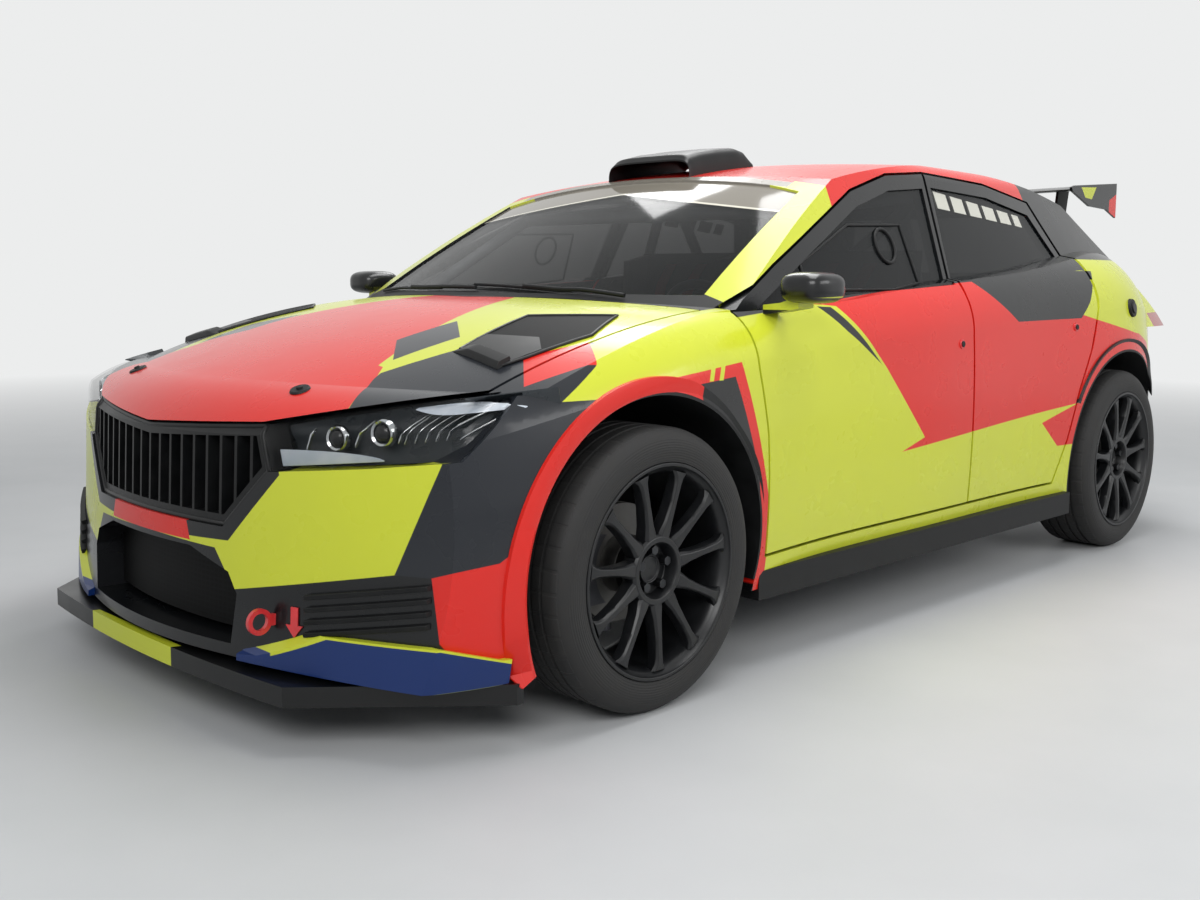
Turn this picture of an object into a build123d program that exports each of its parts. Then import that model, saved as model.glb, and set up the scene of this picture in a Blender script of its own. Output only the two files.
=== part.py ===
from build123d import *
import os
from math import atan2, cos, hypot, radians, sin, tan

# A five-door hatchback rally car at its real size, in millimetres.
# +X points forward, +Y to the car's left and +Z up. The origin is on the ground, midway along its length.

# Overall sizes
LENGTH = 4108
WHEELBASE = 2564
FRONT_AXLE_X = 1258
REAR_AXLE_X = FRONT_AXLE_X - WHEELBASE
NOSE_X = LENGTH / 2

# Wheels
TYRE_R = 325
TYRE_WIDTH = 220
WHEEL_Y = 800
RIM_SEAT_R = 231
RIM_FLANGE_R = 245
RIM_WALL = 9
HUB_R = 62
SPOKE_COUNT = 11
WHEEL_BOLT_COUNT = 5
DISC_R = 160
DISC_T = 26
DISC_W = -38

# Body shell
SIDE_STATION_Y = 950
SIDE_WALL = 70
UPPER_WALL = 38
ROOF_WALL = 30
NOSE_WALL = 70
FLOOR_WALL = 40
GLASS_INSET = 6
GLASS_T = 5
SHUT_GAP = 8
DOOR_REAR_GAP = 10
FRAME_REAR_GAP = 14
QUARTER_GAP = 18
FIT = 0.3
ARCH_R = 395
ARCH_WALL = 8
ARCH_INNER_Y = 505
ARCH_OUTER_Y = 940

# Lower body: one row for each station from nose to tail, half of the section.
# x, sill y, sill z, belt y, belt z, shoulder y, shoulder z, side bulge, shoulder bulge
LOWER_SECTIONS = (
    (2100, 560, 150, 600, 560, 470, 690, 22, 20),
    (1800, 795, 150, 812, 640, 690, 785, 25, 26),
    (1500, 868, 165, 872, 700, 700, 850, 28, 30),
    (1150, 880, 200, 882, 752, 735, 893, 28, 30),
    (600, 846, 200, 858, 770, 800, 905, 14, 14),
    (0, 850, 201, 859, 802, 798, 956, 12, 15),
    (-600, 856, 203, 862, 830, 795, 998, 12, 16),
    (-1150, 886, 215, 884, 870, 765, 1058, 22, 22),
    (-1550, 872, 260, 862, 870, 715, 1066, 24, 24),
    (-2100, 745, 330, 740, 790, 610, 1000, 20, 24),
)
CROWN = 80

# Cabin above the belt: half sections from the scuttle to the tail.
# x, low y, rail y, rail z, roof y, roof z
UPPER_SECTIONS = (
    (1150, 770, 640, 1290, 560, 1345),
    (300, 836, 645, 1290, 565, 1346),
    (-600, 832, 632, 1292, 552, 1346),
    (-1300, 856, 596, 1285, 516, 1335),
    (-2100, 780, 500, 1270, 420, 1315),
)
UPPER_FOOT_Z = 800
RAIL_BULGE = 15

# Side view on the centre line, anticlockwise from the rear foot.
# x, z, x moved inwards at the side station, z lowered there, bulge of the edge that follows,
# wall of that edge
PROFILE = (
    (-1990, 100, 170, 0, 0, 0),
    (2049, 100, -310, 0, 0, NOSE_WALL),
    (2034, 447, -310, 0, 0, NOSE_WALL),
    (2026, 640, -310, -60, 16, ROOF_WALL),
    (1884, 745, -390, 10, 30, ROOF_WALL),
    (1040, 925, -275, 35, 10, UPPER_WALL),
    (320, 1290, -130, 60, 84, ROOF_WALL),
    (-1390, 1290, 60, 80, 0, UPPER_WALL),
    (-1815, 985, 150, 20, 12, 40),
    (-1950, 850, 150, 10, 8, 40),
    (-1975, 655, 170, 0, 0, 40),
    (-2042, 600, 190, 0, 14, 60),
    (-2038, 330, 190, 0, 0, 60),
)

# Shut lines in the side view, x and z, anticlockwise seen with the nose to the right
B_LINE = ((-232, 285), (-232, 940), (-292, 1318))
FRONT_DOOR = (
    B_LINE[0],
    (832, 285),
    (846, 600),
    (872, 760),
    (876, 905),
    (660, 1016),
    (490, 1094),
    (178, 1238),
    (-50, 1298),
    B_LINE[2],
    B_LINE[1],
)
REAR_DOOR = (
    (-800, 285),
    B_LINE[0],
    B_LINE[1],
    B_LINE[2],
    (-700, 1304),
    (-1035, 1256),
    (-1140, 1052),
    (-1110, 900),
    (-1040, 745),
    (-950, 600),
    (-880, 430),
)
FRONT_WINDOW = (
    (-208, 962), (356, 934), (780, 900), (640, 968), (480, 1044), (170, 1186), (-40, 1244), (-256, 1262),
)
REAR_WINDOW = ((-1076, 1060), (-700, 1012), (-256, 972), (-312, 1268), (-690, 1254), (-985, 1206))

# Inner limit of the doors in the front view, y and z
DOOR_INNER = ((735, 200), (735, 905), (585, 1290), (560, 1400))

# Bonnet edge above the headlamps and grille in the front view, and at the wings in the plan view
BONNET_EDGE = ((0, 640), (390, 664), (800, 747))
BONNET_SIDE = ((2100, 752), (1316, 752), (938, 742))
BONNET_REAR_X = 1076
BONNET_CORNER_X = 942
HEADLAMP_FRONT = ((425, 570), (653, 593), (845, 618), (880, 764), (800, 748), (400, 667))
HEADLAMP_SIDE = ((1790, 600), (2100, 540), (2100, 800), (1600, 800), (1612, 748))
BUMPER_SIDE = ((1600, 90), (2100, 90), (2100, 800), (1790, 800), (1790, 620), (1640, 428), (1600, 400))
GRILLE_FRONT = ((-298, 440), (298, 440), (425, 570), (400, 667), (0, 641), (-400, 667), (-425, 570))
GRILLE_RIM = 24
GRILLE_SLATS = 17
GRILLE_PITCH = 46
GRILLE_SLAT_T = 8
INTAKE_FRONT = (
    (-330, 190), (330, 190), (345, 300), (318, 345), (190, 386), (-190, 386), (-318, 345), (-345, 300),
)
MESH_T = 5
MESH_LAP = 18

# Windscreen and tailgate
SCREEN_BASE_Z = 934
SCREEN_TOP_X = 338
SCREEN_TOP_CORNER = (352, 612)
SCREEN_BASE_CORNER = (930, 690)
ROOF_REAR_X = -1388
ROOF_HALF_Y = 560
TAILGATE_X = ROOF_REAR_X - SHUT_GAP
TAILGATE_REAR = ((530, 655), (610, 860), (560, 985), (452, 1300), (452, 1400))
TAILGATE_SWING = 7  # more gap beside its upper edge, which moves past the narrowing pillars as it opens
REAR_GLASS_REAR = ((500, 1006), (414, 1226))
BUMPER_REAR_Z = 650
TAIL_LAMP_REAR = ((632, 700), (860, 716), (840, 850), (640, 862))

# Splitter and skirts
SPLITTER_Z = 105.5
SPLITTER_T = 44
SPLITTER_FRONT = (2020, 552)
SPLITTER_END = (1662, 866)
SPLITTER_REAR_X = 1644
FIN_T = 13
FIN_SIDE = (
    (1672, 149), (2100, 149), (2100, 150), (2001, 182), (1942, 246), (1826, 246), (1690, 204), (1672, 204),
)
FIN_PLAN = ((1600, 367), (2100, 367), (2100, 1000), (1600, 1000))
SKIRT_Z = 176
SKIRT_TOP_Z = 250
SKIRT_FRONT_X = 845
SKIRT_REAR_X = -890

# Roof scoop, rear wing and mirrors
SCOOP_SIDE = ((-30, 1300), (450, 1270), (440, 1366), (52, 1434), (-30, 1376))
SCOOP_FRONT_Y = 205
SCOOP_REAR_Y = 150
SCOOP_MOUTH = ((60, 1280), (480, 1260), (480, 1349), (60, 1422))
WING_BLADE = ((-1900, 1352), (-1520, 1318), (-1470, 1330), (-1530, 1346), (-1900, 1366))
WING_PLATE = ((-1900, 1230), (-1800, 1262), (-1640, 1268), (-1480, 1318), (-1470, 1338), (-1900, 1372))
WING_HALF_SPAN = 600
WING_PLATE_Y = 590
WING_POST = ((-1640, 1080), (-1560, 1130), (-1600, 1330), (-1700, 1338))
WING_POST_Y = 480
WING_POST_T = 12
MIRROR_PLAN = ((640, 850), (800, 850), (766, 955), (724, 980), (664, 985))
MIRROR_Z = (914, 996)
MIRROR_ARM = ((690, 700), (760, 700), (760, 860), (690, 860))
MIRROR_ARM_Z = (878, 918)

# Suspension
LINER_FOOT_Z = 236
TURRET_Y = 640
TURRET_R = 80
TURRET_WALL = 8
TURRET_TOP_Z = 796
STRUT_R = 26
SPRING_R = 46
BALL_STUD_R = 9
PIN_FIT = 0.05
SPINDLE_R = 30
SPINDLE_L = 50
SHAFT_R = 16
STRUT_TOP_Z = 762
STRUT_FOOT_Z = 424
STRUT_FOOT_Y = 650
REAR_STRUT_TOP = (634, 715)
SPRING_L = 128
TOP_ROD_R = 11
TURRET_PLATE = 10
ARM_Z = 156
ARM_T = 26

# Engine bay and cabin
FIREWALL_X = 984
FIREWALL_T = 12
ENGINE_Z = 262
DASH_SIDE = ((720, 640), (900, 640), (984, 700), (984, 880), (860, 900), (740, 884), (690, 800))
DASH_HALF_Y = 640
WHEEL_HUB = (470, 360, 792)
COLUMN_TILT = 22
STEERING_WHEEL_R = 165
CHAIR_SHELL = (
    (285, 290),
    (288, 318),
    (40, 318),
    (-135, 330),
    (-320, 890),
    (-338, 1070),
    (-372, 1070),
    (-356, 880),
    (-165, 296),
    (20, 288),
)
CHAIR_BOLSTER = (
    (285, 290),
    (300, 392),
    (100, 412),
    (-50, 424),
    (-140, 560),
    (-215, 830),
    (-225, 1040),
    (-372, 1070),
    (-356, 880),
    (-165, 296),
    (20, 288),
)
CHAIR_BRACKET = ((-140, 242.2), (0, 241.3), (240, 239.4), (240, 292), (-140, 300))
CHAIR_Y = 360
CHAIR_HALF_WIDTH = 235
CHAIR_SIDE_T = 30
CAGE_R = 20
CAGE_HOOP_X = -405
CAGE_FOOT_Y = 690
CAGE_FEET_Z = (245.4, 243.2, 259)
TOW_EYES = ((2008, 444, 262), (-2024, -520, 400))
TOW_EYE_R = 18
TOW_EYE_T = 10
JACK_PAD_Z = 180
JACK_PAD_R = 34

# Joints
DOOR_HINGE_X = 868
BONNET_HINGE = (928, 905)
KINGPIN_TOP = (636, 796)
KINGPIN_FOOT = (716, 190)


def corners_inset(corners, gaps):
    """The corners of an anticlockwise outline, each edge moved inwards by its own gap."""
    moved = []
    count = len(corners)
    for i in range(count):
        (ax, ay), (bx, by), (cx, cy) = corners[i - 1], corners[i], corners[(i + 1) % count]
        before, after = hypot(bx - ax, by - ay), hypot(cx - bx, cy - by)
        ux, uy, vx, vy = (bx - ax) / before, (by - ay) / before, (cx - bx) / after, (cy - by) / after
        g, h = gaps[i - 1], gaps[i]
        turn = ux * vy - uy * vx
        if abs(turn) < 0.01:
            moved.append((bx - vy * h, by + vx * h))
        else:
            along = (h - g * (ux * vx + uy * vy)) / turn
            moved.append((bx - uy * g - ux * along, by + ux * g - uy * along))
    return moved


def both_sides(corners):
    """A half outline and its mirror image across the centre line, closed."""
    return list(corners) + [(-y, z) for y, z in reversed(corners)]


def bulged_face(plane, corners, bulges):
    """Closed outline on a plane whose edges bulge outwards by the given heights, as a face."""
    with BuildSketch(plane) as sketch:
        with BuildLine():
            for i, (start, bulge) in enumerate(zip(corners, bulges)):
                end = corners[(i + 1) % len(corners)]
                if bulge:
                    dx, dy = end[0] - start[0], end[1] - start[1]
                    reach = bulge / hypot(dx, dy)
                    middle = ((start[0] + end[0]) / 2 + dy * reach, (start[1] + end[1]) / 2 - dx * reach)
                    ThreePointArc(start, middle, end)
                else:
                    Line(start, end)
        make_face()
    return sketch.sketch


def lower_volume(side, floor):
    """The body below the belt, inset by the given walls."""
    sections = []
    for x, sill_y, sill_z, belt_y, belt_z, top_y, top_z, bulge, top_bulge in LOWER_SECTIONS:
        half = [(sill_y, sill_z), (belt_y, belt_z), (top_y, top_z)]
        corners = corners_inset(both_sides(half), [side, side * 0.8, 0, side * 0.8, side, floor])
        bulges = [bulge, top_bulge, CROWN, top_bulge, bulge, 0]
        sections.append(bulged_face(Plane.YZ.offset(x), corners, bulges))
    with BuildPart() as volume:
        loft(sections)
    return volume.part


def upper_volume(wall):
    """The cabin above the belt, inset by the given wall."""
    sections = []
    for x, low_y, rail_y, rail_z, roof_y, roof_z in UPPER_SECTIONS:
        half = [(low_y, UPPER_FOOT_Z), (rail_y, rail_z), (roof_y, roof_z)]
        corners = corners_inset(both_sides(half), [wall, wall, 0, wall, wall, 0])
        bulges = [0, RAIL_BULGE, CROWN, RAIL_BULGE, 0, 0]
        sections.append(bulged_face(Plane.YZ.offset(x), corners, bulges))
    with BuildPart() as volume:
        loft(sections)
    return volume.part


def profile_volume(scale, extra):
    """The side view swept across the car, inset by each edge's wall times scale plus an extra."""
    gaps = [row[5] * scale + extra for row in PROFILE]
    bulges = [row[4] for row in PROFILE]
    sections = []
    for side in (-1, 0, 1):
        corners = [(x + abs(side) * dx, z - abs(side) * dz) for x, z, dx, dz, *_ in PROFILE]
        plane = Plane.XZ.offset(side * SIDE_STATION_Y)
        sections.append(bulged_face(plane, corners_inset(corners, gaps), bulges))
    with BuildPart() as volume:
        loft(sections)
    return volume.part


def body_volume(side, upper, scale, extra, floor):
    """The whole body as one solid, inset by its walls."""
    low, high, profile = lower_volume(side, floor), upper_volume(upper), profile_volume(scale, extra)
    with BuildPart() as volume:
        add(low)
        add(high)
        add(profile, mode=Mode.INTERSECT)
    return volume.part


def side_block(corners, y_from, y_to):
    """A side-view outline extruded across the car."""
    with BuildPart() as block:
        with BuildSketch(Plane.XZ.offset(-y_from)):
            Polygon(*corners, align=None)
        extrude(amount=y_from - y_to)
    return block.part


def plan_block(corners, z_from, z_to):
    """A plan outline extruded upwards."""
    with BuildPart() as block:
        with BuildSketch(Plane.XY.offset(z_from)):
            Polygon(*corners, align=None)
        extrude(amount=z_to - z_from)
    return block.part


def front_block(corners, x_from, x_to):
    """A front-view outline, y and z, extruded along the car."""
    with BuildPart() as block:
        with BuildSketch(Plane.YZ.offset(x_from)):
            Polygon(*corners, align=None)
        extrude(amount=x_to - x_from)
    return block.part


def write(part, label):
    """Labels a finished piece and writes its file."""
    part.label = label
    export_step(part, f"parts/{label}.step")


os.makedirs("parts", exist_ok=True)

# Body volumes: outer skin, both faces of the glass, and the hollow inside
outer = body_volume(0, 0, 0, 0, 0)
glass_out = body_volume(GLASS_INSET, GLASS_INSET, 0, GLASS_INSET, GLASS_INSET)
glass_in = body_volume(GLASS_INSET + GLASS_T, GLASS_INSET + GLASS_T, 0, GLASS_INSET + GLASS_T, GLASS_INSET)
inner = body_volume(SIDE_WALL, UPPER_WALL, 1, 0, FLOOR_WALL)

# Wheel arches, cut through the shell
with BuildPart() as arch_holes:
    for x in (FRONT_AXLE_X, REAR_AXLE_X):
        with BuildSketch(Plane.XZ.offset(ARCH_WALL - ARCH_INNER_Y)):
            with Locations((x, TYRE_R)):
                Circle(ARCH_R + ARCH_WALL)
        extrude(amount=ARCH_INNER_Y - ARCH_OUTER_Y - ARCH_WALL)
    mirror(about=Plane.XZ)

with BuildPart() as shell:
    add(outer)
    add([inner, arch_holes.part], mode=Mode.SUBTRACT)

with BuildPart() as glass_skin:
    add(glass_out)
    add(glass_in, mode=Mode.SUBTRACT)

FAR = 2200
left_half = side_block([(-FAR, 0), (FAR, 0), (FAR, 1500), (-FAR, 1500)], 0, 1000)
with BuildPart() as left_shell:
    add(shell.part)
    add(left_half, mode=Mode.INTERSECT)


def common(*blocks):
    """The space that plain blocks share."""
    with BuildPart() as space:
        add(blocks[0])
        for block in blocks[1:]:
            add(block, mode=Mode.INTERSECT)
    return space.part


def panel(skin, region, removed=(), mirrored=False):
    """The piece of a skin inside a region, less the removed blocks, on one side or on both."""
    with BuildPart() as space:
        add(region)
        if removed:
            add(list(removed), mode=Mode.SUBTRACT)
    with BuildPart() as piece:
        add(skin)
        add(space.part, mode=Mode.INTERSECT)
        if mirrored:
            mirror(about=Plane.XZ)
    return piece.part


# Regions of the shell
roof_region = plan_block(
    [
        (ROOF_REAR_X, -ROOF_HALF_Y),
        (SCREEN_TOP_X, -ROOF_HALF_Y),
        (SCREEN_TOP_X, ROOF_HALF_Y),
        (ROOF_REAR_X, ROOF_HALF_Y),
    ],
    1180,
    1500,
)
screen_half = [(1200, SCREEN_BASE_CORNER[1] + 30), SCREEN_BASE_CORNER, SCREEN_TOP_CORNER, (SCREEN_TOP_X, 500)]
screen_region = plan_block([(x, -y) for x, y in screen_half] + screen_half[::-1], SCREEN_BASE_Z, 1400)
bonnet_above = [(y, z + SHUT_GAP) for y, z in BONNET_EDGE]
bonnet_front = front_block(
    [(-y, z) for y, z in bonnet_above[:0:-1]]
    + bonnet_above
    + [(880, 780), (880, 1200), (-880, 1200), (-880, 780)],
    500,
    FAR,
)
bonnet_half = [(x, y - SHUT_GAP) for x, y in BONNET_SIDE] + [(BONNET_CORNER_X, 690), (BONNET_REAR_X, 0)]
bonnet_plan = plan_block(bonnet_half + [(x, -y) for x, y in bonnet_half[-2::-1]], 500, 1100)
bonnet_hole_half = [*BONNET_SIDE, (880, 742), (880, 0)]
bonnet_hole_plan = plan_block(bonnet_hole_half + [(x, -y) for x, y in bonnet_hole_half[-2::-1]], 500, 1100)
bonnet_hole_front = front_block(
    [(-y, z) for y, z in BONNET_EDGE[:0:-1]]
    + [*BONNET_EDGE, (900, 772), (900, 1200), (-900, 1200), (-900, 772)],
    500,
    FAR,
)
bonnet_hole = common(bonnet_hole_plan, bonnet_hole_front)
scuttle_keep = [
    (BONNET_CORNER_X - SHUT_GAP, 742),
    (BONNET_CORNER_X - SHUT_GAP, 690),
    (BONNET_REAR_X - SHUT_GAP, 0),
]
scuttle_region = plan_block(
    [(850, -742)] + [(x, -y) for x, y in scuttle_keep] + scuttle_keep[-2::-1] + [(850, 742)], 840, 1000
)
tailgate_region = front_block(both_sides(TAILGATE_REAR), -FAR, TAILGATE_X)
tailgate_gap = [
    (SHUT_GAP + (TAILGATE_SWING if z > 900 else 0), SHUT_GAP if z < 700 else 0)
    for _, z in TAILGATE_REAR
]
tailgate_hole = front_block(
    both_sides([(y + dy, z - dz) for (y, z), (dy, dz) in zip(TAILGATE_REAR, tailgate_gap)]), -FAR, ROOF_REAR_X
)
rear_glass_hole = front_block(both_sides(REAR_GLASS_REAR), -1840, -1380)
left_lamp = common(front_block(HEADLAMP_FRONT, 1500, FAR), side_block(HEADLAMP_SIDE, 0, 1000))
lamps = [left_lamp, mirror(left_lamp, about=Plane.XZ)]
bumper_region = side_block(BUMPER_SIDE, -1000, 1000)
grille_hole, intake_hole = front_block(GRILLE_FRONT, 1500, FAR), front_block(INTAKE_FRONT, 1900, FAR)
rear_bumper_region = side_block(
    [(-FAR, 100), (-1560, 100), (-1560, 560), (-1700, 590), (-1760, BUMPER_REAR_Z), (-FAR, BUMPER_REAR_Z)],
    -1000,
    1000,
)
with BuildPart() as floor_space:
    add(plan_block([(-1560, -770), (1640, -770), (1640, 770), (-1560, 770)], 100, 262))
    add(plan_block([(-1560, -500), (-1150, -500), (-1150, 500), (-1560, 500)], 200, 320))
floor_region = floor_space.part
fender_region = side_block(
    [(820, 100), (FAR, 100), (FAR, 1000), (877, 1000), (877, 904), (850, 904), (850, 700), (820, 600)],
    0,
    1000,
)
door_space = front_block([*DOOR_INNER[::-1], (1000, 200), (1000, 1400)], -1300, 1000)
door_hole = common(
    side_block([*FRONT_DOOR[1:9], *REAR_DOOR[3:], REAR_DOOR[0]], 400, 1000),
    front_block([(y - SHUT_GAP, z) for y, z in DOOR_INNER[::-1]] + [(1000, 200), (1000, 1400)], -1300, 1000),
)
door_holes = [door_hole, mirror(door_hole, about=Plane.XZ)]
tail_lamp_region = front_block(TAIL_LAMP_REAR, -FAR, -1700)

# Panels
write(panel(shell.part, roof_region), "roof_panel")
write(panel(glass_skin.part, screen_region), "windscreen")
write(panel(shell.part, common(bonnet_front, bonnet_plan), lamps), "bonnet_panel")
write(panel(shell.part, bumper_region, [bonnet_hole, *lamps, grille_hole, intake_hole]), "front_bumper")
fender_cuts = [bumper_region, bonnet_hole, left_lamp, floor_region, screen_region, scuttle_region, door_hole]
write(panel(left_shell.part, fender_region, fender_cuts, mirrored=True), "front_fenders")
write(panel(shell.part, rear_bumper_region, [floor_region, tailgate_hole]), "rear_bumper")
write(panel(shell.part, tailgate_region, [rear_bumper_region, rear_glass_hole]), "tailgate_panel")
pane_half = [(y - FIT, z + (FIT if z < 1100 else -FIT)) for y, z in REAR_GLASS_REAR]
rear_pane = front_block(both_sides(pane_half), -1840, -1380)
write(panel(glass_skin.part, rear_pane), "rear_window")
write(panel(left_shell.part, tail_lamp_region, mirrored=True), "tail_lamps")
write(panel(glass_skin.part, left_lamp, mirrored=True), "headlamp_lenses")
side_cuts = [roof_region, screen_region, fender_region, scuttle_region, floor_region]
side_cuts += [rear_bumper_region, tailgate_hole, tail_lamp_region, door_hole]
write(panel(left_shell.part, left_half, side_cuts, mirrored=True), "body_sides")

# Scuttle between the bonnet and the windscreen, with the firewall below it
with BuildPart() as scuttle:
    add(panel(shell.part, scuttle_region, [screen_region, *door_holes]))
    firewall = front_block(
        [(-900, 200), (900, 200), (900, 960), (-900, 960)], FIREWALL_X, FIREWALL_X + FIREWALL_T
    )
    add(panel(inner, firewall, [arch_holes.part]))
write(scuttle.part, "scuttle")

# Floor with the jacking pads under it
with BuildPart() as floor_pan:
    add(panel(shell.part, floor_region, [bumper_region]))
    with BuildSketch(Plane.XY.offset(JACK_PAD_Z)):
        for x in (700, -720):
            for y in (720, -720):
                with Locations((x, y)):
                    Circle(JACK_PAD_R)
    extrude(amount=40)
write(floor_pan.part, "floor_pan")

# Doors
def door(outline, window, label, gaps):
    """Left and right door panels and windows from a side outline."""
    block = common(side_block(corners_inset(list(outline), gaps), 400, 1000), door_space)
    pane = side_block(corners_inset(list(window), [FIT] * len(window)), 400, 1000)
    body = panel(left_shell.part, block, [side_block(window, 400, 1000)])
    glass = panel(glass_skin.part, pane)
    for side in ("left", "right"):
        for piece, name in ((body, "panel"), (glass, "window")):
            write(piece if side == "left" else mirror(piece, about=Plane.XZ), f"{label}_{side}_{name}")


g, f = SHUT_GAP, FRAME_REAR_GAP
door(FRONT_DOOR, FRONT_WINDOW, "door_front", [g] * 9 + [f / 2, DOOR_REAR_GAP / 2])
door(
    REAR_DOOR,
    REAR_WINDOW,
    "door_rear",
    [g, DOOR_REAR_GAP / 2, f / 2, g, g, QUARTER_GAP, QUARTER_GAP, 12, 10, 10, 10],
)

# Arch liners: half tubes with an inner wall, open below, slotted for the arms, and the front strut
# turrets on top
lean = atan2(KINGPIN_FOOT[0] - KINGPIN_TOP[0], KINGPIN_TOP[1] - KINGPIN_FOOT[1])
kingpin = (0, -sin(lean), cos(lean))
with BuildPart() as arch_liners:
    for x in (FRONT_AXLE_X, REAR_AXLE_X):
        with BuildSketch(Plane.XZ.offset(ARCH_WALL - ARCH_INNER_Y)):
            with Locations((x, TYRE_R)):
                Circle(ARCH_R + ARCH_WALL)
        extrude(amount=ARCH_INNER_Y - ARCH_WALL - ARCH_OUTER_Y)
    with BuildSketch(Plane.XY.offset(700)):
        with Locations((FRONT_AXLE_X, TURRET_Y)):
            Circle(TURRET_R)
    extrude(amount=TURRET_TOP_Z - 700)
    for x in (FRONT_AXLE_X, REAR_AXLE_X):
        with BuildSketch(Plane.XZ.offset(-ARCH_INNER_Y)):
            with Locations((x, TYRE_R)):
                Circle(ARCH_R)
        extrude(amount=ARCH_INNER_Y - ARCH_OUTER_Y - ARCH_WALL, mode=Mode.SUBTRACT)
        with BuildSketch(Plane.XZ.offset(-400)):
            with Locations((x, LINER_FOOT_Z - 200)):
                Rectangle(900, 400)
            with Locations((x, 300)):
                Rectangle(280, 260)
        extrude(amount=400 - ARCH_OUTER_Y - ARCH_WALL, mode=Mode.SUBTRACT)
    with BuildSketch(Plane.XY.offset(640)):
        with Locations((FRONT_AXLE_X, TURRET_Y)):
            Circle(TURRET_R - TURRET_WALL)
    extrude(amount=TURRET_TOP_Z - TURRET_PLATE - 640, mode=Mode.SUBTRACT)
    with BuildSketch(Plane((FRONT_AXLE_X, *KINGPIN_TOP), z_dir=kingpin)):
        Circle(TOP_ROD_R + PIN_FIT)
    extrude(amount=60, both=True, mode=Mode.SUBTRACT)
    add(outer, mode=Mode.INTERSECT)
    mirror(about=Plane.XZ)
write(arch_liners.part, "arch_liners")

# Lamp bowls behind the lenses
write(panel(inner, left_lamp, [arch_holes.part], mirrored=True), "headlamp_bowls")

# Grille: a frame inside its opening with upright slats across it
grille_outline = front_block(corners_inset(list(GRILLE_FRONT), [FIT] * len(GRILLE_FRONT)), 1700, FAR)
grille_mouth = front_block(corners_inset(list(GRILLE_FRONT), [GRILLE_RIM] * len(GRILLE_FRONT)), 1700, FAR)
with BuildPart() as grille:
    with BuildSketch(Plane.XY.offset(440)):
        for i in range(GRILLE_SLATS):
            with Locations((1950, GRILLE_PITCH * (i - (GRILLE_SLATS - 1) / 2))):
                Rectangle(500, GRILLE_SLAT_T)
    extrude(amount=240)
    add(grille_outline, mode=Mode.INTERSECT)
    add(panel(grille_outline, grille_outline, [grille_mouth]))
    add(glass_in, mode=Mode.INTERSECT)
    add(inner, mode=Mode.SUBTRACT)
write(grille.part, "grille")

# Mesh behind the lower intake, lying on the inside of the bumper
mesh_outline = corners_inset(list(INTAKE_FRONT), [-MESH_LAP] * len(INTAKE_FRONT))
with BuildPart() as intake_mesh:
    add(front_block(mesh_outline, 1908, FAR))
    add(inner, mode=Mode.INTERSECT)
    add(inner.moved(Location((-MESH_T, 0, 0))), mode=Mode.SUBTRACT)
write(intake_mesh.part, "intake_mesh")

# Splitter with a raised fin along each front corner of the bumper
fin_space = common(side_block(FIN_SIDE, 0, 1000), plan_block(FIN_PLAN, 100, 400))
left_fin = panel(outer.moved(Location((FIN_T, FIN_T, 0))), fin_space, [outer])
right_fin = mirror(left_fin, about=Plane.XZ)
with BuildPart() as splitter:
    with BuildSketch(Plane.XY.offset(SPLITTER_Z)):
        with BuildLine():
            ThreePointArc(SPLITTER_FRONT, (NOSE_X, 0), (SPLITTER_FRONT[0], -SPLITTER_FRONT[1]))
            Polyline(
                (SPLITTER_FRONT[0], -SPLITTER_FRONT[1]),
                (SPLITTER_END[0], -SPLITTER_END[1]),
                (SPLITTER_REAR_X, -SPLITTER_END[1]),
                (SPLITTER_REAR_X, SPLITTER_END[1]),
                SPLITTER_END,
                SPLITTER_FRONT,
            )
        make_face()
    extrude(amount=SPLITTER_T)
    add(outer, mode=Mode.SUBTRACT)
    add([left_fin, right_fin])
write(splitter.part, "splitter")

# Skirts below the doors
with BuildPart() as side_skirts:
    with BuildSketch(Plane.XY.offset(SKIRT_Z)):
        Polygon(
            (SKIRT_FRONT_X, 790), (SKIRT_FRONT_X, 866), (SKIRT_REAR_X, 896), (SKIRT_REAR_X, 790), align=None
        )
    extrude(amount=SKIRT_TOP_Z - SKIRT_Z)
    add(outer, mode=Mode.SUBTRACT)
    mirror(about=Plane.XZ)
write(side_skirts.part, "side_skirts")

# Air scoop on the roof
scoop_front, scoop_rear = SCOOP_SIDE[0][0], SCOOP_SIDE[3][0]
with BuildPart() as roof_scoop:
    add(side_block(SCOOP_SIDE, -SCOOP_FRONT_Y, SCOOP_FRONT_Y))
    add(
        plan_block(
            [
                (scoop_rear, -SCOOP_REAR_Y),
                (scoop_front, -SCOOP_FRONT_Y),
                (scoop_front, SCOOP_FRONT_Y),
                (scoop_rear, SCOOP_REAR_Y),
            ],
            1200,
            1500,
        ),
        mode=Mode.INTERSECT,
    )
    add(side_block(SCOOP_MOUTH, 15 - SCOOP_REAR_Y, SCOOP_REAR_Y - 15), mode=Mode.SUBTRACT)
    add(outer, mode=Mode.SUBTRACT)
write(roof_scoop.part, "roof_scoop")

# Wing above the tailgate: a blade between two end plates that stand on the tailgate
with BuildPart() as rear_wing:
    add(side_block(WING_BLADE, -WING_HALF_SPAN, WING_HALF_SPAN))
    add(side_block(WING_PLATE, WING_PLATE_Y, WING_HALF_SPAN))
    add(side_block(WING_PLATE, -WING_HALF_SPAN, -WING_PLATE_Y))
    add(side_block(WING_POST, WING_POST_Y, WING_POST_Y + WING_POST_T))
    add(side_block(WING_POST, -WING_POST_Y - WING_POST_T, -WING_POST_Y))
    add(outer, mode=Mode.SUBTRACT)
write(rear_wing.part, "rear_wing")

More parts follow.
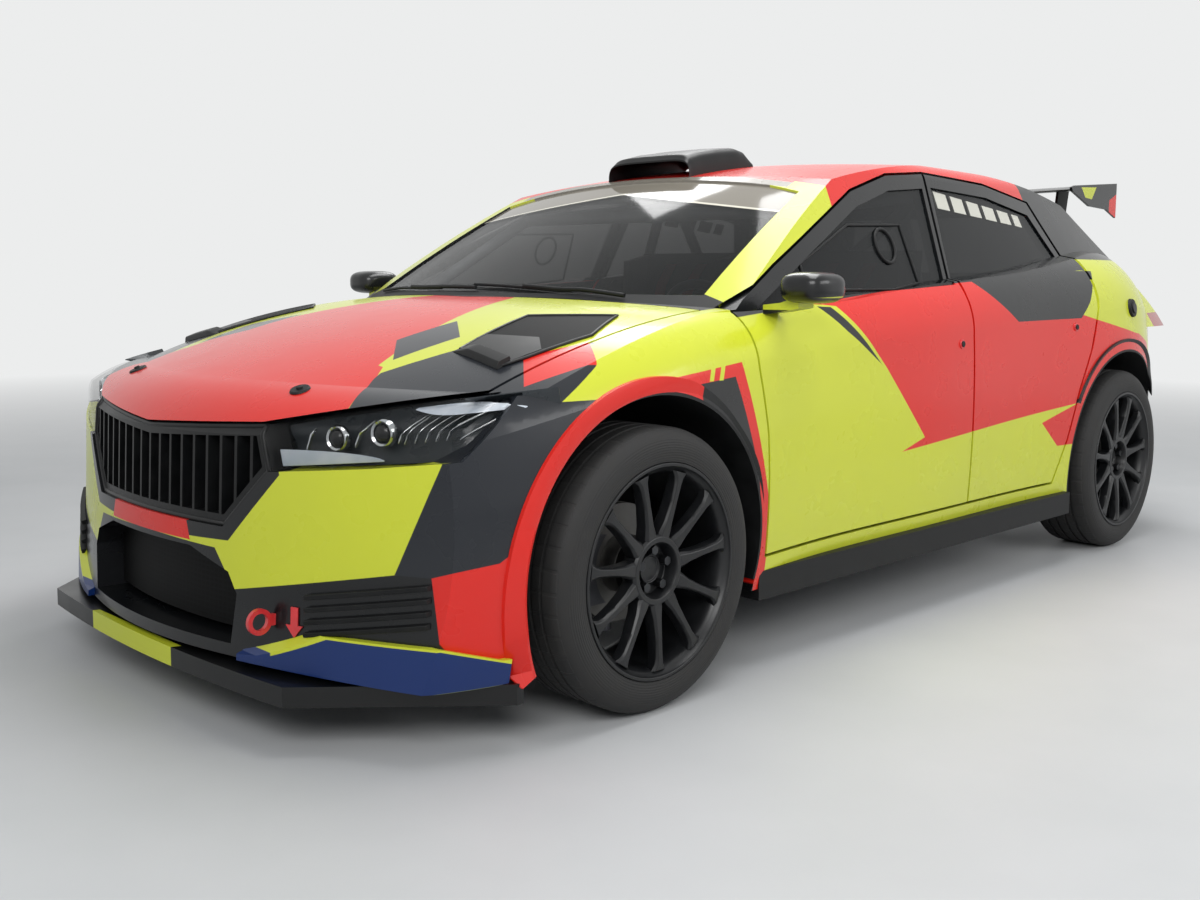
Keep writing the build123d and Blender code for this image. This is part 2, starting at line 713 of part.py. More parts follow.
# Door mirrors
with BuildPart() as mirror_shell:
    with BuildSketch(Plane.XY.offset(MIRROR_Z[0])):
        Polygon(*MIRROR_PLAN, align=None)
    extrude(amount=MIRROR_Z[1] - MIRROR_Z[0])
    fillet(mirror_shell.edges(), 16)
    add(plan_block(MIRROR_ARM, *MIRROR_ARM_Z))
    add(outer, mode=Mode.SUBTRACT)
for side in ("left", "right"):
    shape = mirror_shell.part if side == "left" else mirror(mirror_shell.part, about=Plane.XZ)
    write(shape, f"door_front_{side}_mirror")

# Wheels: rim with its brake disc, and tyre, about the Y axis, outboard towards +Y, then placed
half_tyre = TYRE_WIDTH / 2
RIM_OUTLINE = (
    (RIM_FLANGE_R, half_tyre),
    (RIM_SEAT_R, half_tyre - 12),
    (RIM_SEAT_R, 12 - half_tyre),
    (RIM_FLANGE_R, -half_tyre),
    (RIM_FLANGE_R - RIM_WALL, -half_tyre),
    (RIM_SEAT_R - RIM_WALL, 14 - half_tyre),
    (RIM_SEAT_R - RIM_WALL, half_tyre - 14),
    (RIM_FLANGE_R - RIM_WALL, half_tyre),
)
SPOKE_SIDE = ((30, 20), (HUB_R, 20), (100, 66), (228, 76), (228, 102), (150, 98), (HUB_R, 94), (30, 94))
SPOKE_FACE = ((40, -13), (150, -8), (230, -12), (230, 12), (150, 8), (40, 13))
TYRE_OUTLINE = (
    (RIM_SEAT_R + FIT, 12 - half_tyre),
    (RIM_SEAT_R + FIT, half_tyre - 12),
    (RIM_FLANGE_R + FIT, half_tyre),
    (286, half_tyre + 2),
    (TYRE_R - 8, half_tyre - 16),
    (TYRE_R, half_tyre - 32),
    (TYRE_R, 32 - half_tyre),
    (TYRE_R - 8, 16 - half_tyre),
    (286, -2 - half_tyre),
    (RIM_FLANGE_R + FIT, -half_tyre),
)
HAT_R = 68


def turned(outline):
    """A radius and width outline turned about the wheel's axis."""
    with BuildPart() as ring:
        with BuildSketch(Plane.XY):
            Polygon(*outline, align=None)
        revolve(axis=Axis.Y)
    return ring.part


with BuildPart() as spokes:
    with BuildSketch(Plane.XZ.offset(-half_tyre)):
        with PolarLocations(0, SPOKE_COUNT):
            Polygon(*SPOKE_FACE, align=None)
    extrude(amount=TYRE_WIDTH / 2)
    with BuildSketch(Plane.XZ.offset(-half_tyre)):
        Circle(HUB_R)
    extrude(amount=TYRE_WIDTH / 2)
    add(turned(SPOKE_SIDE), mode=Mode.INTERSECT)
    with BuildSketch(Plane.XZ.offset(-half_tyre)):
        with PolarLocations(44, WHEEL_BOLT_COUNT):
            Circle(9)
    extrude(amount=30, mode=Mode.SUBTRACT)
tyre = turned(TYRE_OUTLINE)
with BuildPart() as rim:
    add(turned(RIM_OUTLINE))
    add(spokes.part)
    with BuildSketch(Plane.XZ.offset(-(DISC_W - DISC_T / 2))):
        Circle(DISC_R)
    extrude(amount=-DISC_T)
    with BuildSketch(Plane.XZ.offset(-(DISC_W + DISC_T / 2))):
        Circle(HAT_R)
    extrude(amount=DISC_W + DISC_T / 2 - 20)
    with BuildSketch(Plane.XZ.offset(-(DISC_W - DISC_T / 2))):
        Circle(SPINDLE_R)
    extrude(amount=SPINDLE_L)
for end, axle_x in (("front", FRONT_AXLE_X), ("rear", REAR_AXLE_X)):
    for side in ("left", "right"):
        for shape, name in ((rim.part, "rim"), (tyre, "tyre")):
            placed = shape.moved(Location((axle_x, WHEEL_Y, TYRE_R)))
            write(placed if side == "left" else mirror(placed, about=Plane.XZ), f"wheel_{end}_{side}_{name}")

# Uprights, calipers and struts. The front ones turn about the kingpin axis.
def upright(x, steered):
    """Hub carrier at one axle with the bore for the wheel's spindle."""
    disc_back = WHEEL_Y + DISC_W - DISC_T / 2
    with BuildPart() as part:
        with BuildSketch(Plane.XZ.offset(-668)):
            with Locations((x, TYRE_R)):
                Circle(58)
            with Locations((x, 320)):
                Rectangle(70, 250)
        extrude(amount=-34)
        with BuildSketch(Plane.XZ.offset(-702)):
            with Locations((x, TYRE_R)):
                Circle(48)
        extrude(amount=-(disc_back - 6 - 702))
        with BuildSketch(Plane.XZ.offset(-668)):
            with Locations((x + 84, TYRE_R)):
                Rectangle(100, 80)
        extrude(amount=-12)
        with BuildSketch(Plane.XZ.offset(-668)):
            with Locations((x, TYRE_R)):
                Circle(SPINDLE_R + PIN_FIT)
        extrude(amount=-90, mode=Mode.SUBTRACT)
        if steered:
            with BuildSketch(Plane.XY.offset(200)):
                with Locations((x, KINGPIN_FOOT[0] - 13)):
                    Rectangle(60, 70)
            extrude(amount=24)
            with BuildSketch(Plane((x, *KINGPIN_FOOT), z_dir=kingpin)):
                Circle(BALL_STUD_R + PIN_FIT)
            extrude(amount=45, both=True, mode=Mode.SUBTRACT)
    return part.part


def caliper(x):
    """Caliper over the disc's front edge with a bracket to the upright."""
    centre = WHEEL_Y + DISC_W
    with BuildPart() as part:
        with BuildSketch(Plane.XZ.offset(-(centre - 36))):
            with Locations((x, TYRE_R)):
                Circle(DISC_R + 34)
                Circle(DISC_R - 55, mode=Mode.SUBTRACT)
                Rectangle(500, 500, align=(Align.MAX, Align.CENTER), mode=Mode.SUBTRACT)
            with Locations((x + 134, TYRE_R)):
                Rectangle(400, 156, mode=Mode.INTERSECT)
        extrude(amount=-72)
        with BuildSketch(Plane.XZ.offset(-(centre - DISC_T / 2 - 5))):
            with Locations((x, TYRE_R)):
                Circle(DISC_R + 6)
        extrude(amount=-(DISC_T + 10), mode=Mode.SUBTRACT)
        with BuildSketch(Plane.XZ.offset(-680)):
            with Locations((x + 119, TYRE_R)):
                Rectangle(28, 80)
        extrude(amount=-(centre - 36 - 680))
    return part.part


def strut(x, top_y, top_z):
    """Damper with its spring sleeve."""
    foot = Vector(x, STRUT_FOOT_Y, STRUT_FOOT_Z)
    run = Vector(x, top_y, top_z) - foot
    axis = Plane(foot, z_dir=run)
    with BuildPart() as part:
        with BuildSketch(axis):
            Circle(STRUT_R)
        extrude(amount=run.length)
        with BuildSketch(axis.offset(run.length - SPRING_L)):
            Circle(SPRING_R)
        extrude(amount=SPRING_L)
    return part.part


with BuildPart() as knuckle:
    add(upright(FRONT_AXLE_X, True))
    add(caliper(FRONT_AXLE_X))
    strut_top_y = KINGPIN_FOOT[0] - (STRUT_TOP_Z - KINGPIN_FOOT[1]) * tan(lean)
    add(strut(FRONT_AXLE_X, strut_top_y, STRUT_TOP_Z))
    with BuildSketch(Plane((FRONT_AXLE_X, strut_top_y, STRUT_TOP_Z), z_dir=kingpin)):
        Circle(TOP_ROD_R)
    extrude(amount=TURRET_TOP_Z + 8 - STRUT_TOP_Z)
write(knuckle.part, "knuckle_left")
write(mirror(knuckle.part, about=Plane.XZ), "knuckle_right")

# Front suspension on the body: crossmember and arms with ball studs
with BuildPart() as front_suspension:
    with BuildSketch(Plane.XY.offset(ARM_Z)):
        with Locations((FRONT_AXLE_X, 0)):
            Rectangle(170, 660)
        with Locations((FRONT_AXLE_X, 0)):
            Polygon((-85, 330), (85, 330), (24, KINGPIN_FOOT[0]), (-24, KINGPIN_FOOT[0]), align=None)
        with Locations((FRONT_AXLE_X, KINGPIN_FOOT[0])):
            Circle(24)
    extrude(amount=ARM_T)
    with BuildSketch(Plane((FRONT_AXLE_X, *KINGPIN_FOOT), z_dir=kingpin).offset(-20)):
        Circle(BALL_STUD_R)
    extrude(amount=50)
    add(mirror(front_suspension.part, about=Plane.XZ, mode=Mode.PRIVATE))
write(front_suspension.part, "front_suspension")

# Rear suspension on the body: crossmember, fixed uprights, struts and calipers
with BuildPart() as rear_suspension:
    with BuildSketch(Plane.XY.offset(ARM_Z + 38)):
        with Locations((REAR_AXLE_X, 0)):
            Rectangle(150, 700)
    extrude(amount=ARM_T + 40)
    add(outer, mode=Mode.SUBTRACT)
    with BuildSketch(Plane.XY.offset(ARM_Z + 38)):
        with Locations((REAR_AXLE_X, 520)):
            Rectangle(60, 350)
    extrude(amount=ARM_T)
    add(upright(REAR_AXLE_X, False))
    add(strut(REAR_AXLE_X, *REAR_STRUT_TOP))
    add(caliper(REAR_AXLE_X))
    add(mirror(rear_suspension.part, about=Plane.XZ, mode=Mode.PRIVATE))
write(rear_suspension.part, "rear_suspension")

# Engine block with its mounts, gearbox and drive shafts
with BuildPart() as engine_block:
    with BuildSketch(Plane.XY.offset(ENGINE_Z)):
        with Locations((1510, -30)):
            Rectangle(360, 640)
    extrude(amount=430)
    with BuildSketch(Plane.XY.offset(ENGINE_Z)):
        with Locations((FRONT_AXLE_X + 40, 0)):
            Rectangle(240, 300)
    extrude(amount=190)
    with BuildSketch(Plane.XY.offset(580)):
        with Locations((1480, 0)):
            Rectangle(60, 2 * (ARCH_INNER_Y - ARCH_WALL))
    extrude(amount=50)
    with BuildSketch(Plane.XZ.offset(-640)):
        with Locations((FRONT_AXLE_X, TYRE_R)):
            Circle(SHAFT_R)
    extrude(amount=1280)
write(engine_block.part, "engine_block")

# Radiator
radiator_plan = [(1858, -310), (1898, -310), (1898, 310), (1858, 310)]
write(panel(inner, plan_block(radiator_plan, 170, 592)), "radiator")

# Dashboard with the steering column and the pin that the wheel turns on
tilt = radians(COLUMN_TILT)
column = Plane(WHEEL_HUB, z_dir=(cos(tilt), 0, -sin(tilt)))
with BuildPart() as dashboard:
    add(side_block(DASH_SIDE, -DASH_HALF_Y, DASH_HALF_Y))
    add(inner, mode=Mode.INTERSECT)
    with BuildSketch(column.offset(22)):
        Circle(26)
    extrude(amount=300)
    with BuildSketch(column):
        Circle(12)
    extrude(amount=40)
write(dashboard.part, "dashboard")

# Steering wheel: rim, three spokes and a hub on the pin
with BuildPart() as steering_wheel:
    with BuildSketch(Plane(WHEEL_HUB, x_dir=(0, 1, 0), z_dir=(-sin(tilt), 0, -cos(tilt)))):
        with Locations((STEERING_WHEEL_R, -40)):
            Circle(15)
    revolve(axis=Axis(WHEEL_HUB, (cos(tilt), 0, -sin(tilt))))
    with BuildSketch(column.offset(-44)):
        with PolarLocations(0, 3, start_angle=90):
            Rectangle(STEERING_WHEEL_R, 26, align=(Align.MIN, Align.CENTER))
    extrude(amount=8)
    with BuildSketch(column.offset(-46)):
        Circle(34)
    extrude(amount=62)
    with BuildSketch(column.offset(-6)):
        Circle(12 + PIN_FIT)
    extrude(amount=40, mode=Mode.SUBTRACT)
write(steering_wheel.part, "steering_wheel")

# Bucket chairs on side brackets
with BuildPart() as bucket_chairs:
    add(side_block(CHAIR_SHELL, CHAIR_Y - CHAIR_HALF_WIDTH, CHAIR_Y + CHAIR_HALF_WIDTH))
    for y, width in ((CHAIR_Y - CHAIR_HALF_WIDTH, 6), (CHAIR_Y + CHAIR_HALF_WIDTH, -6)):
        add(side_block(CHAIR_BOLSTER, min(y, y + 5 * width), max(y, y + 5 * width)))
        add(side_block(CHAIR_BRACKET, min(y, y + width), max(y, y + width)))
    add(mirror(bucket_chairs.part, about=Plane.XZ, mode=Mode.PRIVATE))
write(bucket_chairs.part, "bucket_chairs")


def tube(points, bend):
    """A cage tube along straight runs joined by bends."""
    with BuildPart() as part:
        with BuildLine() as path:
            if bend:
                FilletPolyline(*points, radius=bend)
            else:
                Polyline(*points)
        with BuildSketch(Plane(path.line @ 0, z_dir=path.line % 0)):
            Circle(CAGE_R)
        sweep(path=path.line)
    return part.part


# Roll cage
hoop_x, foot_y = CAGE_HOOP_X, CAGE_FOOT_Y
hoop = [(hoop_x, y, z) for y, z in ((foot_y, CAGE_FEET_Z[1]), (foot_y, 880), (560, 1258))]
with BuildPart() as roll_cage:
    add(tube(hoop + [(x, -y, z) for x, y, z in reversed(hoop)], 70))
    for side in (1, -1):
        front = [(770, 668, CAGE_FEET_Z[0]), (800, 676, 860), (316, 562, 1174), (hoop_x, 550, 1250)]
        add(tube([(x, side * y, z) for x, y, z in front], 90))
        add(tube([(hoop_x, side * 480, 1256), (-1000, side * 420, CAGE_FEET_Z[2])], 0))
        add(tube([(hoop_x, side * foot_y, 330), (795, side * 676, 640)], 0))
        add(tube([(hoop_x, side * foot_y, 640), (775, side * 670, 330)], 0))
    add(tube([(316, -562, 1174), (316, 562, 1174)], 0))
    add(tube([(hoop_x, -foot_y, 300), (hoop_x, 550, 1240)], 0))
write(roll_cage.part, "roll_cage")

# Tow eyes at both ends
with BuildPart() as tow_eyes:
    for x, y, z in TOW_EYES:
        with BuildSketch(Plane.XZ.offset(-y)):
            with Locations((x, z)):
                Circle(TOW_EYE_R + 10)
                Rectangle(60, 24, align=(Align.MAX if x > 0 else Align.MIN, Align.CENTER))
                Circle(TOW_EYE_R, mode=Mode.SUBTRACT)
        extrude(amount=-TOW_EYE_T)
    add(outer, mode=Mode.SUBTRACT)
write(tow_eyes.part, "tow_eyes")
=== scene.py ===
import math

import bmesh
import bpy
from bpy.props import FloatProperty, FloatVectorProperty, IntProperty, PointerProperty
from bpy.types import Operator, Panel, PropertyGroup
from mathutils import Matrix, Vector
from mathutils.bvhtree import BVHTree


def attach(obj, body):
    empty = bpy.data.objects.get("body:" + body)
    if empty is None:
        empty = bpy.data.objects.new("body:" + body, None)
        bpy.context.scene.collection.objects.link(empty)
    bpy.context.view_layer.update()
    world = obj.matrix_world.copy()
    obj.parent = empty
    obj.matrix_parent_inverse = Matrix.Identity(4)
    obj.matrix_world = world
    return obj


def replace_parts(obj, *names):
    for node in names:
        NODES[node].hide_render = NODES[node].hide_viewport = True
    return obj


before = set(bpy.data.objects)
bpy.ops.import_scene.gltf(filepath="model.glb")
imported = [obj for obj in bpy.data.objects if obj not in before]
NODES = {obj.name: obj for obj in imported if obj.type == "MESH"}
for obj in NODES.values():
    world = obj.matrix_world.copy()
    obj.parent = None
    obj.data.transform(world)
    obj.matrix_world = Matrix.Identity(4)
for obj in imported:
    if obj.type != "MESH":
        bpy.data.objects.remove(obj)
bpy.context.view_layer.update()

bl_info = {
    "name": "Rally Car",
    "version": (1, 0),
    "blender": (4, 5, 0),
    "location": "View3D > Sidebar > Rally Car",
    "description": "Dresses a five-door rally car with its wrap, glass, wheels, aerodynamic parts and cabin",
    "category": "Object",
}

SIDES = (("left", 1), ("right", -1))
FRONT_AXLE, REAR_AXLE, WHEEL_Y, WHEEL_R = 1.258, -1.306, 0.8, 0.325

# Where rays start, outside the car.
PAST_SIDE, PAST_NOSE, PAST_TAIL, ABOVE_ROOF = 1.3, 2.3, -2.4, 2.0

SHARP_EDGE, BEVELLED_EDGE = math.radians(38), math.radians(35)


# Finishes


class Number:
    """A number socket that adds Math nodes as it is used in an expression."""

    def __init__(self, finish, socket):
        self.finish, self.socket = finish, socket

    def _math(self, operation, *values, clamp=False):
        settings = {"operation": operation, "use_clamp": clamp}
        made = self.finish.node("ShaderNodeMath", settings, dict(enumerate(values)))
        return Number(self.finish, made.outputs[0])

    def __add__(self, other):
        return self._math("ADD", self, other)

    def __sub__(self, other):
        return self._math("SUBTRACT", self, other)

    def __rsub__(self, other):
        return self._math("SUBTRACT", other, self)

    def __mul__(self, other):
        return self._math("MULTIPLY", self, other)

    def __abs__(self):
        return self._math("ABSOLUTE", self)

    def __and__(self, other):
        return self._math("MINIMUM", self, other)

    def __or__(self, other):
        return self._math("MAXIMUM", self, other)

    def scaled(self, factor, offset):
        return self._math("MULTIPLY_ADD", self, factor, offset)

    def sign(self):
        """-1 or 1, with a short ramp around 0."""
        return self.scaled(40, 0) & 1 | -1

    def sine(self):
        return self._math("SINE", self)

    def hypot(self, other):
        return self._math("SQRT", self * self + other * other)

    def angle(self, other):
        return self._math("ARCTAN2", self, other)

    def repeat(self, pitch):
        """Distance from the middle of each repeat of a pitch."""
        return self._math("PINGPONG", self, pitch / 2)

    def mask(self, edge=0.0, width=0.0012):
        """1 above an edge and 0 below it, with a narrow ramp."""
        return self._math("MULTIPLY_ADD", self, 1 / width, 0.5 - edge / width, clamp=True)


class Finish:
    """A node material for one of the car's surfaces."""

    def __init__(self, name, **sockets):
        self.material = bpy.data.materials.new(name)
        self.material.use_nodes = True
        self.tree = self.material.node_tree
        self.shader = self.tree.nodes["Principled BSDF"]
        self.paint(**sockets)
        place = self.node("ShaderNodeTexCoord")
        self.place = place.outputs["Object"]
        split = self.node("ShaderNodeSeparateXYZ", {}, {0: self.place})
        self.x, self.y, self.z = (Number(self, socket) for socket in split.outputs)
        facing = self.node("ShaderNodeSeparateXYZ", {}, {0: place.outputs["Normal"]})
        self.facing_x, self.facing_y, self.facing_z = (Number(self, socket) for socket in facing.outputs)

    def put(self, node, values):
        """Links or sets a node's sockets, named with underscores or numbered."""
        for key, value in values.items():
            socket = node.inputs[key if isinstance(key, int) else key.replace("_", " ")]
            if isinstance(value, Number):
                value = value.socket
            if isinstance(value, bpy.types.NodeSocket):
                self.tree.links.new(value, socket)
            elif socket.type == "RGBA":
                socket.default_value = (*value[:3], 1)
            else:
                socket.default_value = value

    def paint(self, **sockets):
        """Sets the shader's own sockets."""
        self.put(self.shader, sockets)

    def node(self, kind, settings={}, values={}):
        made = self.tree.nodes.new(kind)
        for key, value in settings.items():
            setattr(made, key, value)
        self.put(made, values)
        return made

    def mix(self, mask, below, above):
        """A colour over another one where a mask is 1."""
        settings = {"data_type": "RGBA", "clamp_factor": True}
        return self.node("ShaderNodeMix", settings, {0: mask, 6: below, 7: above}).outputs[2]

    def noise(self, scale, detail=2.0):
        values = {"Vector": self.place, "Scale": scale, "Detail": detail}
        return Number(self, self.node("ShaderNodeTexNoise", {}, values).outputs["Fac"])

    def bump(self, height, strength, distance=0.001):
        values = {"Height": height, "Strength": strength, "Distance": distance}
        self.paint(Normal=self.node("ShaderNodeBump", {}, values).outputs[0])

    def depth(self, u, v, corners):
        """How far inside a convex outline in millimetres a point lies, in metres."""
        points = [(a / 1000, b / 1000) for a, b in corners]
        area = sum(a[0] * b[1] - b[0] * a[1] for a, b in pairs(points))
        if area < 0:
            points.reverse()
        inside = None
        for (ax, ay), (bx, by) in pairs(points):
            length = math.hypot(bx - ax, by - ay)
            nx, ny = (ay - by) / length, (bx - ax) / length
            edge = u.scaled(nx, v.scaled(ny, -(ax * nx + ay * ny)))
            inside = edge if inside is None else inside & edge
        return inside


def pairs(ring):
    """Each member of a ring with the one after it."""
    return zip(ring, ring[1:] + ring[:1])


def around(corners, count):
    """Points along an outline, evenly spaced on each of its sides."""
    return [
        (a[0] + (b[0] - a[0]) * n / count, a[1] + (b[1] - a[1]) * n / count)
        for a, b in pairs(corners)
        for n in range(count)
    ]


def rgb(text):
    """A linear colour from a plain hexadecimal one."""
    return tuple(((int(text[i : i + 2], 16) / 255 + 0.055) / 1.055) ** 2.4 for i in (0, 2, 4))


def dress(material, *names):
    """Gives CAD nodes their finish."""
    for name in names:
        mesh = NODES[name].data
        if not mesh.materials:
            mesh.materials.append(material)
        for slot in NODES[name].material_slots:
            slot.material = material


# Shapes


def skin(*names):
    """A lookup tree of CAD nodes' surfaces."""
    points, faces = [], []
    for name in names:
        start = len(points)
        points += [v.co.copy() for v in NODES[name].data.vertices]
        faces += [[start + i for i in p.vertices] for p in NODES[name].data.polygons]
    return BVHTree.FromPolygons(points, faces)


def hit(tree, point, direction):
    """Where a ray meets a lookup tree, and the way the surface faces there."""
    found, normal, *_ = tree.ray_cast(Vector(point), Vector(direction))
    return (found, normal) if found else (None, None)


def from_side(tree, x, z, k):
    """Where the car's side lies: k is 1 on the left and -1 on the right."""
    return hit(tree, (x, k * PAST_SIDE, z), (0, -k, 0))


def from_front(tree, y, z):
    """Where the nose lies."""
    return hit(tree, (PAST_NOSE, y, z), (-1, 0, 0))


def from_above(tree, x, y):
    """Where the top lies."""
    return hit(tree, (x, y, ABOVE_ROOF), (0, 0, -1))


def piece(name, mesh, material, body, bevel=0, smooth=True):
    """A finished object that rides on a body and takes its slot from its finish."""
    if isinstance(mesh, bmesh.types.BMesh):
        data = bpy.data.meshes.new(name)
        bmesh.ops.remove_doubles(mesh, verts=mesh.verts, dist=1e-6)
        bmesh.ops.recalc_face_normals(mesh, faces=mesh.faces)
        mesh.to_mesh(data)
        mesh.free()
        mesh = data
    for polygon in mesh.polygons:
        polygon.use_smooth = smooth
    if smooth:
        mesh.set_sharp_from_angle(angle=SHARP_EDGE)
    mesh.materials.append(material)
    made = bpy.data.objects.new(name, mesh)
    bpy.context.scene.collection.objects.link(made)
    if bevel:
        modifier = made.modifiers.new("edges", "BEVEL")
        modifier.width, modifier.segments, modifier.limit_method = bevel, 2, "ANGLE"
        modifier.angle_limit = BEVELLED_EDGE
        modifier.harden_normals = False
    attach(made, body)
    return made


def flat(bm, points):
    """A face through points."""
    return bm.faces.new([bm.verts.new(p) for p in points])


def prism(bm, corners, place, low, high):
    """An outline given a thickness: place turns a corner and a height into a point."""
    face = flat(bm, [place(a, b, low) for a, b in corners])
    grown = bmesh.ops.extrude_face_region(bm, geom=[face])
    moved = [v for v in grown["geom"] if isinstance(v, bmesh.types.BMVert)]
    a, b = corners[0]
    bmesh.ops.translate(bm, vec=Vector(place(a, b, high)) - Vector(place(a, b, low)), verts=moved)


def side_view(x, z, y):
    """A side view's corner in millimetres as a point."""
    return (x / 1000, y / 1000, z / 1000)


def grid(bm, across, along, place):
    """A sheet of quads whose points are placed by two shares from 0 to 1."""
    made = bmesh.ops.create_grid(bm, x_segments=across, y_segments=along, size=0.5)
    for vert in made["verts"]:
        vert.co = Vector(place(vert.co.x + 0.5, vert.co.y + 0.5))


def drum(bm, segments, base, top, depth):
    """A drum about the Z axis from its two radii."""
    made = bmesh.ops.create_cone(bm, cap_ends=True, segments=segments, radius1=base, radius2=top, depth=depth)
    return made["verts"]


def settle(bm, verts, turn, place):
    """Turns points about the origin and then moves them."""
    bmesh.ops.rotate(bm, verts=verts, matrix=turn)
    bmesh.ops.translate(bm, verts=verts, vec=place)


def spun(bm, outline, centre, steps):
    """A radius and width outline turned about a wheel's axis."""
    verts = [bm.verts.new((centre[0] + r / 1000, centre[1] + w / 1000, centre[2])) for r, w in outline]
    edges = [bm.edges.new(pair) for pair in pairs(verts)]
    bmesh.ops.spin(
        bm, geom=verts + edges, cent=centre, axis=(0, 1, 0), angle=math.tau, steps=steps, use_merge=True
    )


def rod(name, points, radius, material, body, closed=False, smooth=False):
    """A round bar along points."""
    curve = bpy.data.curves.new(name, "CURVE")
    curve.dimensions, curve.bevel_depth, curve.bevel_resolution, curve.use_fill_caps = "3D", radius, 3, True
    line = curve.splines.new("NURBS" if smooth else "POLY")
    line.points.add(len(points) - 1)
    for point, place in zip(line.points, points):
        point.co = (*place, 1)
    line.use_cyclic_u = closed
    if smooth:
        line.order_u, line.use_endpoint_u = 3, not closed
    holder = bpy.data.objects.new(name + "_line", curve)
    mesh = bpy.data.meshes.new_from_object(holder)
    bpy.data.objects.remove(holder)
    return piece(name, mesh, material, body)


# Livery: convex areas in millimetres, painted in order, each a colour and its corners.
# Sides use x and z, the bonnet and roof x and |y|, the front and tail |y| and z.

SIDE_AREAS = (
    ("red", ((-1190, 100), (660, 100), (660, 1060), (-1190, 1060))),
    ("yellow", ((-1400, 100), (176, 100), (176, 488), (-935, 555), (-1400, 583))),
    ("yellow", ((175, 100), (1000, 100), (1000, 489), (175, 489))),
    ("yellow", ((55, 520), (264, 732), (364, 823), (455, 905), (1000, 950), (1000, 488), (176, 488))),
    ("red", ((-695, 503), (-935, 555), (-1240, 573), (-1240, 410), (-809, 416))),
    ("black", ((535, 905), (480, 903), (288, 742), (446, 838))),
    ("red", ((-1560, 500), (-983, 500), (-983, 850), (-1400, 790), (-1560, 740))),
    ("yellow", ((-2100, 1060), (-975, 1060), (-975, 858), (-1400, 784), (-2100, 740))),
    ("black", ((-247, 1010), (-1200, 1010), (-1040, 900), (-983, 847), (-526, 843))),
    ("black", ((-1640, 100), (-2200, 100), (-2200, 700), (-1640, 700))),
)
DOOR_AREAS = (
    ("black", ((900, 880), (90, 950), (90, 1400), (900, 1400))),
    ("black", ((91, 950), (-1080, 1012), (-1080, 1400), (91, 1400))),
    ("black", ((-1079, 1012), (-1300, 1000), (-1300, 1400), (-1079, 1400))),
)
PILLAR_AREAS = (
    ("yellow", ((300, 905), (1200, 850), (1200, 1300), (300, 1400))),
    ("red", ((300, 1150), (-1000, 1150), (-1000, 1500), (300, 1500))),
    ("black", ((-1000, 1052), (-2200, 1052), (-2200, 1500), (-1000, 1500))),
)
FENDER_AREAS = (
    ("grey", ((1437, 300), (2100, 300), (2100, 721), (1442, 721))),
    ("grey", ((1442, 720), (2100, 720), (2100, 831), (1334, 831), (1405, 791), (1414, 777))),
    ("grey", ((1334, 830), (2100, 830), (2100, 900), (1300, 900))),
    (
        "red",
        (
            (1680, 100), (1680, 412), (1606, 526), (1520, 642), (1439, 721),
            (1231, 752), (940, 779), (824, 400), (824, 100),
        ),
    ),
    ("black", ((1108, 736), (972, 746), (884, 500), (868, 402), (868, 100), (1108, 100))),
    ("yellow", ((1052, 795), (1036, 795), (1060, 740), (1076, 740))),
    ("yellow", ((1014, 795), (998, 795), (1022, 740), (1038, 740))),
)
FENDER_TOP_AREAS = (("red", ((1485, 690), (1334, 745), (1405, 837), (1578, 793))),)
BONNET_AREAS = (
    ("red", ((1690, -1), (2100, -1), (2100, 700), (1742, 496), (1690, 455))),
    ("red", ((850, -1), (1700, -1), (1700, 462), (1382, 339), (1107, 206), (850, 104))),
    ("grey", ((1654, 443), (1562, 335), (1382, 339), (1476, 463))),
    ("grey", ((1742, 490), (1713, 478), (1532, 530), (1480, 645), (1480, 900), (1900, 900), (1900, 590))),
    ("red", ((1485, 690), (1334, 745), (1405, 837), (1578, 793))),
)
FRONT_AREAS = (
    ("black", ((-1, 400), (316, 412), (456, 566), (424, 700), (-1, 672))),
    ("black", ((-1, 100), (335, 100), (335, 311), (275, 392), (-1, 400))),
    ("red", ((-1, 398), (190, 398), (172, 452), (-1, 452))),
    ("black", ((330, 100), (900, 100), (900, 410), (718, 384), (330, 308))),
    ("grey", ((718, 384), (960, 384), (960, 700), (815, 640))),
    ("red", ((790, 384), (880, 414), (880, 160), (822, 160))),
)
BUMPER_SIDE_AREAS = (
    ("red", ((1740, 384), (1640, 446), (1590, 440), (1590, 150), (1740, 150))),
)
ROOF_AREAS = (("strip", ((306, -1), (420, -1), (420, 700), (306, 700))),)
TAIL_AREAS = (
    ("black", ((-1, 100), (1000, 100), (1000, 560), (-1, 560))),
    ("black", ((-1, 1000), (1000, 1000), (1000, 1500), (-1, 1500))),
    ("red", ((-1, 700), (420, 700), (360, 790), (-1, 790))),
)
FLARE_AREAS = (
    ("black", ((1108, 800), (1108, 100), (700, 100), (700, 800))),
    ("red", ((1108, 800), (1108, 738), (940, 752), (860, 420), (820, 420), (860, 800))),
)
MIRROR_AREAS = (("yellow", ((600, 938), (850, 930), (850, 900), (600, 900))),)
WING_PLATE_AREAS = (
    ("red", ((-1830, 1226), (-1830, 1300), (-1905, 1330), (-1905, 1226))),
    ("yellow", ((-1560, 1338), (-1600, 1300), (-1660, 1296), (-1700, 1345))),
)

# The splitter's blue fin in two convex parts, and its yellow field from above.
FIN_TIP = ((2120, 100), (2120, 176), (2010, 200), (1985, 200), (1985, 100))
FIN_BODY = ((2001, 100), (2001, 182), (1942, 246), (1826, 246), (1690, 204), (1600, 176), (1600, 100))
SPLITTER_FIELD = ((2030, 150), (2110, 120), (2110, -300), (2030, -270))

# The strip of pale squares on the side glass.
SQUARES_BAND = ((-290, 1262), (-912, 1200), (-914, 1160), (-292, 1206))


